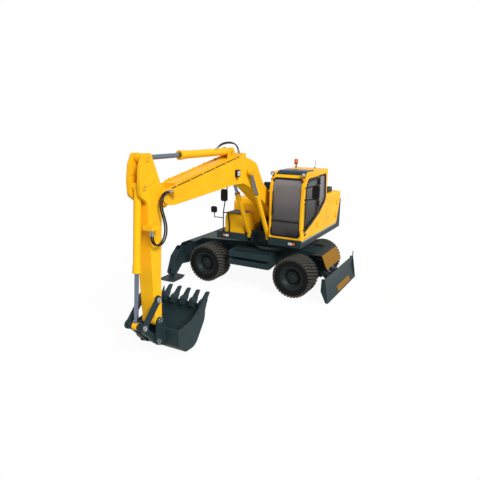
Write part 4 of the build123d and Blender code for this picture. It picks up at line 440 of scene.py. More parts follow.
class Shape:
    """A mesh under construction, in the frame's metres."""

    def __init__(self) -> None:
        """Start with no faces."""
        self.mesh = bmesh.new()

    def _skin(self, rings: list[list[bmesh.types.BMVert]], caps: bool = True) -> "Shape":
        """Join rings of equal counts, and close the two ends where caps are wanted."""
        count = len(rings[0])
        for first, second in zip(rings, rings[1:]):
            for index in range(count):
                after = (index + 1) % count
                self.mesh.faces.new((first[index], first[after], second[after], second[index]))
        if caps:
            self.mesh.faces.new(reversed(rings[0]))
            self.mesh.faces.new(rings[-1])
        return self

    def loft(self, rings: list[list[Vector]], caps: bool = True) -> "Shape":
        """Skin rings of equal counts, each a closed loop."""
        return self._skin([[self.mesh.verts.new(spot) for spot in ring] for ring in rings], caps)

    def lathe(self, profile: Section, matrix: Matrix, segments: int = 64, closed: bool = False) -> "Shape":
        """Turn a profile of (radius, along) about Z.

        Args:
            profile: Points in order.
            matrix: Where the Z axis goes.
            segments: Faces around.
            closed: Whether the last point joins the first.

        Returns:
            The shape itself.
        """
        turn = circle(segments)
        rings = [[self.mesh.verts.new(matrix @ Vector((radius * x, radius * y, along))) for x, y in turn]
                 for radius, along in profile]
        return self._skin(rings + rings[:1] if closed else rings, caps=False)

    def prism(self, loop: Section, low: float, high: float, matrix: Matrix, ease: float = 0.0) -> "Shape":
        """Extrude an outline along Z of a matrix, its two rims eased by a small step.

        Args:
            loop: Outline in the matrix's XY plane.
            low: Start along Z.
            high: End along Z.
            matrix: Where the outline's plane goes.
            ease: Width of the eased rim.

        Returns:
            The shape itself.
        """
        middle = sum((Vector(p) for p in loop), Vector((0, 0))) / len(loop)
        inner = 1 - ease / max((Vector(p) - middle).length for p in loop)
        levels = [(low, 1.0), (high, 1.0)]
        if ease:
            levels = [(low, inner), (low + ease, 1.0), (high - ease, 1.0), (high, inner)]
        return self.loft([[matrix @ Vector((*(middle + (Vector(p) - middle) * scale), z)) for p in loop]
                          for z, scale in levels])

    def block(self, low: Point3, high: Point3, ease: float = 0.004) -> "Shape":
        """Box between two corners with eased rims along Z."""
        loop = oblong((low[0], high[0]), (low[1], high[1]), ease, 3)
        return self.prism(loop, low[2], high[2], Matrix.Identity(4), ease)

    def bar(self, path: list[Vector], radius: float, segments: int = 12) -> "Shape":
        """Round bar along a path, with flat ends."""
        up = Vector((0.31, 0.17, 0.93)).normalized()
        rings = []
        for index, spot in enumerate(path):
            ahead = (path[min(index + 1, len(path) - 1)] - path[max(index - 1, 0)]).normalized()
            across = ahead.cross(up).normalized()
            up = across.cross(ahead).normalized()
            rings.append([spot + (across * x + up * y) * radius for x, y in circle(segments)])
        return self.loft(rings)

    def band(self, loop: Section, section: Section,
             place: Callable[[float, float, float], Vector]) -> "Shape":
        """Run a section round a closed outline on a surface.

        Args:
            loop: Outline on the surface.
            section: Points (outwards from the outline, above the surface).
            place: Frame point for the two places on the surface and the rise above it.

        Returns:
            The shape itself.
        """
        area = sum(a[0] * b[1] - b[0] * a[1] for a, b in zip(loop, loop[1:] + loop[:1]))
        path = [Vector(p) for p in (loop if area > 0 else loop[::-1])]
        rings = []
        for index, spot in enumerate(path):
            ahead = path[(index + 1) % len(path)] - path[index - 1]
            out = Vector((ahead.y, -ahead.x)).normalized()
            rings.append([place(*(spot + out * away), rise) for away, rise in section])
        return self.loft(rings + rings[:1], caps=False)

    def pillow(self, size: Point3, matrix: Matrix, channels: int, levels: int = 24,
               around: int = 72) -> "Shape":
        """Crowned cushion with squarish sides and sewn channels across its top.

        Args:
            size: Full width, length and thickness.
            matrix: Where its middle goes.
            channels: Number of sewn channels along its length.
            levels: Rings from the bottom to the top.
            around: Points on a ring.

        Returns:
            The shape itself.
        """
        corner, side, crown = 0.36, 0.42, 0.6
        pitch, width, depth = 0.28, 0.05, 0.16
        seams = [(2 * k - channels + 1) * pitch for k in range(channels)]
        rings = []
        for level in range(1, levels):
            rise = math.pi * (level / levels - 0.5)
            flat, high = math.cos(rise) ** side, power(math.sin(rise), crown)
            ring = []
            for spot in circle(around):
                across, along = (power(way, corner) * flat for way in spot)
                groove = sum(math.exp(-((across - seam) / width) ** 2) for seam in seams)
                lift = high - (depth * groove if high > 0 else 0.0)
                ring.append(matrix @ Vector((across * size[0] / 2, along * size[1] / 2, lift * size[2] / 2)))
            rings.append(ring)
        return self.loft(rings)

    def add(self, mesh: Mesh, matrix: Matrix) -> "Shape":
        """Take in a finished mesh at a place, then drop it."""
        mesh.transform(matrix)
        self.mesh.from_mesh(mesh)
        bpy.data.meshes.remove(mesh)
        return self

    def close(self, name: str) -> Mesh:
        """Merge doubles, turn the faces outwards and shade the mesh.

        Args:
            name: Name of the mesh.

        Returns:
            The finished mesh.
        """
        bmesh.ops.remove_doubles(self.mesh, verts=self.mesh.verts, dist=MERGE)
        bmesh.ops.dissolve_degenerate(self.mesh, edges=self.mesh.edges, dist=DEGENERATE)
        bmesh.ops.recalc_face_normals(self.mesh, faces=self.mesh.faces)
        mesh = bpy.data.meshes.new(name)
        self.mesh.to_mesh(mesh)
        self.mesh.free()
        mesh.shade_smooth()
        mesh.set_sharp_from_angle(angle=math.radians(SHARP_DEG))
        return mesh


def sheet_with_holes(name: str, loops: list[Section], thickness: float, matrix: Matrix) -> Mesh:
    """Flat plate with holes from closed outlines.

    Args:
        name: Name of the mesh.
        loops: Outer outline and holes in the matrix's XY plane.
        thickness: Thickness along Z, half of it to each side.
        matrix: Where the plane goes.

    Returns:
        The plate's mesh.
    """
    curve = bpy.data.curves.new(name, "CURVE")
    curve.dimensions = "2D"
    curve.fill_mode = "BOTH"
    curve.extrude = thickness / 2
    for loop in loops:
        add_spline(curve, "POLY", [Vector((*spot, 0.0)) for spot in loop]).use_cyclic_u = True
    mesh = curve_mesh(curve)
    mesh.materials.clear()
    mesh.transform(matrix)
    return mesh


# Geometry Nodes for what repeats


class Pattern(Enum):
    """Ways to repeat a piece."""

    TURNED = "turned_copies"
    ROW = "row_copies"


class Repeater:
    """Builds and runs the two Geometry Nodes trees that repeat a small piece."""

    def __init__(self) -> None:
        """Build both trees."""
        self.trees = {pattern: self._tree(pattern) for pattern in Pattern}

    def _tree(self, pattern: Pattern) -> NodeTree:
        """Build one tree: points, copies on them, realized, with a material."""
        tree, given, out = group_tree(
            pattern.value, "GeometryNodeTree",
            {"Piece": ("NodeSocketObject", None), "Count": ("NodeSocketInt", None), "Step": (VECTOR, None),
             "Finish": ("NodeSocketMaterial", None)}, {"Geometry": "NodeSocketGeometry"})
        order = add_node(tree, "GeometryNodeInputIndex").outputs["Index"]
        along = add_node(tree, "ShaderNodeVectorMath", operation="SCALE", Scale=order)
        feed(tree, along.inputs[0], given["Step"])
        spots = add_node(tree, "GeometryNodePoints", Count=given["Count"])
        piece = add_node(tree, "GeometryNodeObjectInfo", Object=given["Piece"], As_Instance=True)
        copies = add_node(tree, "GeometryNodeInstanceOnPoints", Points=spots.outputs[0],
                          Instance=piece.outputs["Geometry"])
        moved = spots.inputs["Position"] if pattern is Pattern.ROW else copies.inputs["Rotation"]
        feed(tree, moved, along.outputs["Vector"])
        real = add_node(tree, "GeometryNodeRealizeInstances", Geometry=copies.outputs["Instances"])
        finish = add_node(tree, "GeometryNodeSetMaterial", Geometry=real.outputs["Geometry"],
                          Material=given["Finish"])
        feed(tree, out["Geometry"], finish.outputs["Geometry"])
        return tree

    def run(self, pattern: Pattern, piece: Mesh, count: int, step: Point3,
            finish: Material) -> Mesh:
        """Repeat a piece and return the plain mesh.

        Args:
            pattern: Turned about Z, or in a row.
            piece: Mesh of one copy, which is dropped.
            count: Number of copies.
            step: Rotation in radians, or move in metres, from one copy to the next.
            finish: Material of the copies.

        Returns:
            One mesh with all copies.
        """
        source = put("repeat_piece", piece)
        holder = put("repeat_holder", bpy.data.meshes.new("repeat_holder"))
        modifier = holder.modifiers.new("repeat", "NODES")
        modifier.node_group = self.trees[pattern]
        values = {"Piece": source, "Count": count, "Step": step, "Finish": finish}
        for socket in modifier.node_group.interface.items_tree:
            if socket.in_out == "INPUT":
                modifier[socket.identifier] = values[socket.name]
        mesh = take_mesh(holder)
        bpy.data.objects.remove(source)
        bpy.data.meshes.remove(piece)
        return mesh


class Workshop:
    """Materials, repeaters and the way a finished mesh becomes a piece."""

    def __init__(self) -> None:
        """Build every material once."""
        worn = worn_surface_group()
        self.materials = {finish: finish.make(worn) for finish in FINISHES}
        self.repeater = Repeater()

    def piece(self, name: str, mesh: Mesh, finish: Finish, body: str | None,
              replaces: tuple[str, ...] = ()) -> Object:
        """Make a piece that rides on a body.

        Args:
            name: Name of the piece.
            mesh: Its mesh, in place.
            finish: Its finish.
            body: Body that carries it, or None where it rides on no body.
            replaces: Nodes that it stands for.

        Returns:
            The piece.
        """
        mesh.materials.clear()
        mesh.materials.append(self.materials[finish])
        made = put(name, mesh)
        if body:
            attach(made, body)
        if replaces:
            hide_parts(*replaces)
        LOG.info("%s: %d faces on %s", name, len(mesh.polygons), body)
        return made

    def shape(self, name: str, shape: Shape, finish: Finish, body: str,
              replaces: tuple[str, ...] = ()) -> Object:
        """Close a shape and make it a piece."""
        return self.piece(name, shape.close(name), finish, body, replaces)

    def turned(self, piece: Mesh, count: int, finish: Finish) -> Mesh:
        """Ring of copies of a mesh about Z."""
        step = (0.0, 0.0, FULL_TURN / count)
        return self.repeater.run(Pattern.TURNED, piece, count, step, self.materials[finish])

    def row(self, piece: Mesh, count: int, step: Point3, finish: Finish) -> Mesh:
        """Row of copies of a mesh."""
        return self.repeater.run(Pattern.ROW, piece, count, step, self.materials[finish])

    def bolts(self, count: int, ring: float, size: float, height: float, finish: Finish) -> Mesh:
        """Ring of hexagon bolts about Z, standing on its plane.

        Args:
            count: Number of bolts.
            ring: Radius of the ring.
            size: Radius of a head.
            height: Height of a head.
            finish: Finish of the bolts.

        Returns:
            The ring's mesh.
        """
        head = [(0.0, -0.003), (size, -0.003), (size, 0.8 * height), (0.8 * size, height), (0.0, height)]
        one = Shape().lathe(head, Matrix.Translation((ring, 0, 0)), 6).close("bolt")
        return self.turned(one, count, finish)

    def grips(self, across: Point2, along: Point2, z: float, count: int, bars: Shape) -> Shape:
        """Add a row of raised grip bars to a shape.

        Args:
            across: Ends of a bar along X.
            along: Middles of the first and of the last bar along Y.
            z: Height of the plate below.
            count: Number of bars.
            bars: Shape that gets the row.

        Returns:
            That shape.
        """
        half, sunk, rise, ease = 0.010, 0.003, 0.009, 0.003
        one = Shape().block((across[0], -half, -sunk), (across[1], half, rise), ease).close("grip")
        step = (along[1] - along[0]) / (count - 1)
        return bars.add(self.row(one, count, (0.0, step, 0.0), GREY), Matrix.Translation((0, along[0], z)))


NODE_FINISHES: dict[Finish, tuple[str, ...]] = {
    YELLOW: ("boom", "arm", "boom_cylinder_barrels", "arm_cylinder_barrel", "bucket_cylinder_barrel",
             "cab_shell", "cab_roof", "cab_door", "engine_hood", "engine_housing", "service_door_left",
             "service_door_right", "tool_box", "tank_cover"),
    SHADED_YELLOW: ("blade_guard",),
    GREY: ("chassis_frame", "swing_frame", "counterweight", "bucket", "blade", "bucket_levers", "bucket_link",
           "steer_axle", "rigid_axle", "outrigger_leg_left", "outrigger_leg_right", "outrigger_foot_left",
           "outrigger_foot_right", "steer_knuckle_left", "steer_knuckle_right", "blade_ram_barrels",
           "outrigger_barrel_left", "outrigger_barrel_right", "drive_line", "slewing_ring", "steering_rod",
           "engine_block", "step_boxes"),
    CHROME: ("boom_cylinder_rods", "arm_cylinder_rod", "bucket_cylinder_rod", "blade_ram_rods",
             "outrigger_rod_left", "outrigger_rod_right"),
    GLASS: ("cab_glass",),
    DOOR_GLASS: ("door_glass",),
    BLACK: ("mirrors",),
    HUMP: ("hood_cover",),
}


def dress_nodes(shop: Workshop, nodes: dict[str, Object]) -> None:
    """Give every node of the frame that stays in view its finish."""
    for finish, names in NODE_FINISHES.items():
        for name in names:
            nodes[name].data.materials.clear()
            nodes[name].data.materials.append(shop.materials[finish])


# The studio


@dataclass
class Studio:
    """White floor, soft light and the camera of the photograph."""

    camera_place: Point3 = (5.193, -11.431, 4.209)
    camera_aim: Point3 = (-0.4681, 0.8505, -0.2397)
    camera_roll_deg: float = 0.644
    focal_px: float = 454.1
    sun_from: Point3 = (0.70, -0.42, 0.58)
    sun_strength: float = 3.1
    sun_angle_deg: float = 22
    sky: float = 0.45
    sky_colour: Colour = (0.97, 0.985, 1.0)
    floor_size: float = 60.0
    floor_white: float = 0.94
    floor_seen: float = 0.98
    floor_bounce: float = 0.5

    def build(self) -> None:
        """Build the floor, the light and the camera."""
        self._floor()
        self._light()
        self._camera()
        bpy.context.scene.view_settings.view_transform = "Standard"

    def _seen(self, tree: NodeTree) -> NodeSocket:
        """Socket that is 1 where a camera, glossy or transmission ray looks."""
        ray = add_node(tree, "ShaderNodeLightPath")
        seen = math_node(tree, "ADD", ray.outputs["Is Camera Ray"], ray.outputs["Is Glossy Ray"])
        return math_node(tree, "ADD", seen, ray.outputs["Is Transmission Ray"])

    def _blend(self, tree: NodeTree, factor: NodeSocket, plain: Node, white: str,
               output: str) -> None:
        """Mix a plain shader with a white one and put it out.

        Args:
            tree: Tree of the material or the world.
            factor: Share of the white shader.
            plain: Shader for all other light.
            white: Type of the white shader.
            output: Name of the output node.
        """
        blend = add_node(tree, "ShaderNodeMixShader", Fac=factor)
        feed(tree, blend.inputs[1], plain.outputs[0])
        feed(tree, blend.inputs[2], add_node(tree, white, Color=(1, 1, 1, 1), Strength=1.0).outputs[0])
        feed(tree, tree.nodes[output].inputs["Surface"], blend.outputs[0])

    def _floor(self) -> None:
        """White floor that keeps a light shadow and throws back less light than it shows."""
        half = self.floor_size
        mesh = bpy.data.meshes.new("floor")
        corners = [(-half, -half, 0), (half, -half, 0), (half, half, 0), (-half, half, 0)]
        mesh.from_pydata(corners, [], [(0, 1, 2, 3)])
        floor = put("floor", mesh)
        material = bpy.data.materials.new("pale_floor")
        material.use_nodes = True
        tree = material.node_tree
        plain = tree.nodes["Principled BSDF"]
        seen = self._seen(tree)
        bounce, shown = ((*[value] * 3, 1) for value in (self.floor_bounce, self.floor_seen))
        feed(tree, plain.inputs["Base Color"], mix_colour(tree, seen, bounce, shown))
        plain.inputs["Roughness"].default_value = 0.9
        plain.inputs["Specular IOR Level"].default_value = 0.0
        self._blend(tree, math_node(tree, "MULTIPLY", seen, self.floor_white), plain, "ShaderNodeEmission",
                    "Material Output")
        mesh.materials.append(material)

    def _light(self) -> None:
        """Soft sun from the front right and an even sky."""
        lamp = bpy.data.lights.new("key", "SUN")
        lamp.energy = self.sun_strength
        lamp.angle = math.radians(self.sun_angle_deg)
        key = put("key", lamp)
        key.rotation_mode = "QUATERNION"
        key.rotation_quaternion = Vector(self.sun_from).to_track_quat("Z", "Y")
        world = bpy.data.worlds.new("studio")
        world.use_nodes = True
        tree = world.node_tree
        sky = tree.nodes["Background"]
        sky.inputs["Color"].default_value = (*self.sky_colour, 1)
        sky.inputs["Strength"].default_value = self.sky
        self._blend(tree, self._seen(tree), sky, "ShaderNodeBackground", "World Output")
        bpy.context.scene.world = world

    def _camera(self) -> None:
        """Camera at the photograph's viewpoint."""
        ahead = Vector(self.camera_aim).normalized()
        right = ahead.cross(Vector((0, 0, 1))).normalized()
        up = right.cross(ahead)
        roll = math.radians(self.camera_roll_deg)
        tilted = right * math.cos(roll) + up * math.sin(roll)
        upright = up * math.cos(roll) - right * math.sin(roll)
        data = bpy.data.cameras.new("camera")
        data.sensor_width = SENSOR_MM
        data.lens = SENSOR_MM * self.focal_px / IMAGE_PX
        camera = put("camera", data)
        turn = Matrix((tilted, upright, -ahead)).transposed().to_4x4()
        camera.matrix_world = Matrix.Translation(self.camera_place) @ turn
        bpy.context.scene.camera = camera


# Wheels

# Half of a tyre's section, from the bead to the crown: radius and distance from the tyre's middle
CARCASS: Section = [
    (0.2546, 0.090), (0.262, 0.103), (0.282, 0.114), (0.318, 0.126), (0.36, 0.1325), (0.372, 0.1375),
    (0.382, 0.1335), (0.425, 0.1355), (0.462, 0.1315), (0.486, 0.1225), (0.497, 0.110), (0.5, 0.07),
    (0.501, 0.0)]
# Section of the hub, the disc and both rims: radius and distance from the machine's middle
RIMS: Section = [
    (0.0, 1.185), (0.070, 1.185), (0.078, 1.178), (0.082, 1.168), (0.128, 1.166), (0.150, 1.160),
    (0.165, 1.148), (0.172, 1.130), (0.173, 1.080), (0.188, 1.080), (0.190, 1.150), (0.200, 1.163),
    (0.228, 1.186), (0.248, 1.214), (0.270, 1.236), (0.296, 1.250), (0.313, 1.2525), (0.319, 1.248),
    (0.316, 1.240), (0.284, 1.226), (0.2538, 1.213), (0.2538, 1.027), (0.2400, 1.022), (0.2400, 0.912),
    (0.2538, 0.907), (0.2538, 0.721), (0.264, 0.718), (0.264, 0.711), (0.256, 0.7095), (0.238, 0.716),
    (0.234, 0.880), (0.205, 0.940), (0.156, 0.944), (0.156, 0.913), (0.0806, 0.913), (0.0806, 1.124),
    (0.0, 1.124)]
# Stations of a lug: across, top radius, half width at the top, half width at the root, root radius, slant
LUG = (
    (0.006, 0.527, 0.024, 0.030, 0.494, -0.016), (0.040, 0.527, 0.027, 0.034, 0.494, -0.006),
    (0.080, 0.5265, 0.028, 0.035, 0.493, 0.006), (0.113, 0.523, 0.028, 0.035, 0.488, 0.015),
    (0.130, 0.510, 0.026, 0.032, 0.474, 0.019), (0.1372, 0.484, 0.021, 0.026, 0.456, 0.021),
    (0.1374, 0.462, 0.013, 0.016, 0.452, 0.021))


@dataclass
class TwinWheel:
    """Two tyres on twin rims about one hub, for one end of an axle."""

    name: str
    side: Side
    tyre_width: float = 0.275
    lug_count: int = 36
    # count, ring radius, head radius, head height, distance from the machine's middle
    nuts: tuple[int, float, float, float, float] = (10, 0.138, 0.0135, 0.016, 1.163)
    hub_bolts: tuple[int, float, float, float, float] = (12, 0.104, 0.008, 0.009, 1.166)

    def __post_init__(self) -> None:
        """Read the wheel's place from the frame."""
        low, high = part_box(f"{self.name}_tyres")
        self.axle = Vector(((low.x + high.x) / 2, 0, (low.z + high.z) / 2))
        self.outer_y = max(abs(low.y), abs(high.y)) - self.tyre_width / 2
        self.inner_y = min(abs(low.y), abs(high.y)) + self.tyre_width / 2
        self.outward = Vector((0, self.side.value, 0))

    def at(self, out: float) -> Matrix:
        """Matrix of the wheel's axis, Z outwards, at a distance from the middle of the machine."""
        return axis_matrix(self.axle + self.outward * out, self.outward)

    def build(self, shop: Workshop) -> None:
        """Build the carcasses, the treads, the rims and their fixings."""
        loop = [(r, -a) for r, a in CARCASS] + [(r, a) for r, a in reversed(CARCASS[:-1])]
        sides, tread, fixings = Shape(), Shape(), Shape()
        for out in (self.outer_y, self.inner_y):
            sides.lathe(loop, self.at(out), 96, closed=True)
            tread.add(shop.turned(self._lug_pair(), self.lug_count, TREAD), self.at(out))
        shop.shape(f"{self.name}_carcass", sides, RUBBER, self.name, (f"{self.name}_tyres",))
        shop.shape(f"{self.name}_tread", tread, TREAD, self.name)
        turned = Shape().lathe(RIMS, self.at(0.0), 72)
        shop.shape(f"{self.name}_rim", turned, RIM_GREY, self.name, (f"{self.name}_rims",))
        for *bolts, out in (self.nuts, self.hub_bolts):
            fixings.add(shop.bolts(*bolts, RIM_GREY), self.at(out))
        shop.shape(f"{self.name}_nuts", fixings, RIM_GREY, self.name)

    def _lug_pair(self) -> Mesh:
        """One lug of the outer row and its neighbour of the inner row, half a pitch on."""
        pair = Shape()
        for way, turn in ((1, 0.0), (-1, math.pi / self.lug_count)):
            rings = []
            for across, top, half_top, half_root, root, slant in LUG:
                ring = []
                section = ((root, -half_root), (top, -half_top), (top, half_top), (root, half_root))
                for radius, side in section:
                    angle = turn + (side + way * slant) / radius
                    ring.append(Vector((radius * math.cos(angle), radius * math.sin(angle), way * across)))
                rings.append(ring)
            pair.loft(rings)
        return pair.close("lug_pair")


# Hoses


@dataclass
class HoseRun:
    """One hydraulic hose that crosses a joint, with its crimped ends."""

    name: str
    node: str
    x: float
    route: tuple[Point2, ...]
    bodies: tuple[str, str]
    radius: float = 0.015
    sides: int = 14
    crimp: float = 0.07
    held: float = 0.12

    def build(self, shop: Workshop) -> None:
        """Build the hose, which stands for its pair's node, and its two crimped ends."""
        path = self._line()
        tube = Shape().bar(path, self.radius, self.sides)
        hose = shop.piece(self.name, tube.close(self.name), HOSE, None)
        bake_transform(hose)
        ends = [self._crimp(shop, self.bodies[0], path[0], path[1]),
                self._crimp(shop, self.bodies[1], path[-1], path[-2])]
        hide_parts(self.node)

    def _crimp(self, shop: Workshop, body: str, end: Vector, inner: Vector) -> Object:
        """Crimped steel end of the hose.

        Args:
            shop: Source of the finishes.
            body: Body that the end is screwed into.
            end: Where the hose ends.
            inner: Next point along the hose.

        Returns:
            The crimped end.
        """
        sleeve = [(0.0, -0.02), (0.024, -0.02), (0.024, 0.012), (0.020, 0.016), (0.0195, self.crimp),
                  (0.0165, self.crimp + 0.006), (0.0, self.crimp + 0.006)]
        turned = Shape().lathe(sleeve, axis_matrix(end, inner - end), 16)
        return shop.shape(f"{self.name}_crimp_{body}", turned, STEEL, body)

    def _line(self) -> list[Vector]:
        """Points of the smooth line whose control points are the route."""
        curve = bpy.data.curves.new(self.name, "CURVE")
        curve.dimensions = "3D"
        spline = add_spline(curve, "NURBS", [boom_point(self.x, *spot) for spot in self.route])
        spline.order_u = 3
        spline.use_endpoint_u = True
        curve.resolution_u = 8
        mesh = curve_mesh(curve)
        line = [vertex.co.copy() for vertex in mesh.vertices]
        bpy.data.meshes.remove(mesh)
        return line


ARM_LOOP = ((5.030, 3.105), (5.150, 3.115), (5.268, 3.062), (5.325, 2.940), (5.305, 2.800), (5.245, 2.660),
            (5.205, 2.520), (5.210, 2.380), (5.275, 2.260), (5.395, 2.200), (5.525, 2.235), (5.590, 2.350),
            (5.600, 2.480))
BOOM_ARCH = ((2.215, 3.662), (2.262, 3.775), (2.380, 3.860), (2.550, 3.898), (2.750, 3.905), (2.940, 3.885),
             (3.085, 3.830), (3.170, 3.775))
BOOM_ARCH_REAR = ((1.985, 3.662), (2.032, 3.765), (2.145, 3.840), (2.310, 3.872), (2.510, 3.878),
                  (2.710, 3.862), (2.870, 3.815), (2.965, 3.775))
HOSES = (
    HoseRun("arm_hose_inner", "arm_hoses", 0.248, ARM_LOOP, ("boom", "arm")),
    HoseRun("arm_hose_outer", "arm_hoses", 0.292, ARM_LOOP, ("boom", "arm")),
    HoseRun("boom_hose_front", "boom_hoses", 0.060, BOOM_ARCH, ("boom", "arm_cylinder_barrel")),
    HoseRun("boom_hose_rear", "boom_hoses", -0.060, BOOM_ARCH_REAR, ("boom", "arm_cylinder_barrel")),
)


# The cab

CAB_SIDE = rounded(
    [(-1.134, 1.486), (-1.134, 2.300), (-1.090, 2.850), (-0.930, 3.090), (-0.760, 3.165), (0.630, 3.165),
     (0.670, 3.085), (0.670, 1.486)], [0.03, 0.6, 0.28, 0.28, 0.28, 0.06, 0.06, 0.03], 14)
DOOR_TRIM = rounded(
    [(-1.012, 1.650), (-1.012, 2.296), (-0.974, 2.826), (-0.846, 3.010), (-0.072, 3.022), (-0.072, 1.960),
     (-0.520, 1.800)], [0.04, 0.3, 0.15, 0.15, 0.03, 0.03, 0.9])
DOOR_PANE = rounded(
    [(-0.960, 1.726), (-0.960, 2.290), (-0.925, 2.790), (-0.820, 2.950), (-0.130, 2.965), (-0.130, 1.996)],
    [0.06, 0.3, 0.12, 0.12, 0.05, 0.12])
QUARTER_TRIM = rounded(
    [(-0.055, 1.966), (0.060, 2.010), (0.520, 2.276), (0.580, 2.420), (0.500, 3.050), (-0.055, 3.044)],
    [0.01, 0.5, 0.12, 0.12, 0.06, 0.01])
QUARTER_PANE = rounded(
    [(0.020, 2.076), (0.480, 2.336), (0.520, 2.436), (0.440, 3.015), (0.020, 3.020)],
    [0.05, 0.09, 0.09, 0.06, 0.05])
WINDOW_RUBBER: Section = [
    (-0.016, -0.016), (-0.016, 0.004), (-0.004, 0.010), (0.014, 0.010), (0.024, 0.004), (0.024, -0.004)]
PANE_RUBBER: Section = [(-0.012, -0.010), (-0.012, 0.006), (0.002, 0.010), (0.012, 0.008), (0.014, 0.001)]
# Grab rail: distance from the cab's side and height
GRAB_RAIL: Section = [
    (-0.004, 1.760), (0.040, 1.775), (0.046, 1.82), (0.046, 2.36), (0.040, 2.405), (-0.004, 2.42)]
AERIAL_FOOT: Section = [
    (0.0, 0.0), (0.026, 0.0), (0.022, 0.016), (0.008, 0.024), (0.006, 0.045), (0.0, 0.045)]
DOOR_HANDLE = rounded([(-0.985, 1.590), (-0.865, 1.612), (-0.865, 1.652), (-0.985, 1.632)], 0.016)
LEVER_KNOB: Section = [(0.0, 0.0), (0.018, 0.004), (0.021, 0.04), (0.017, 0.075), (0.0, 0.082)]
WHEEL_HUB: Section = [(0.0, -0.03), (0.045, -0.03), (0.05, 0.004), (0.03, 0.016), (0.0, 0.016)]


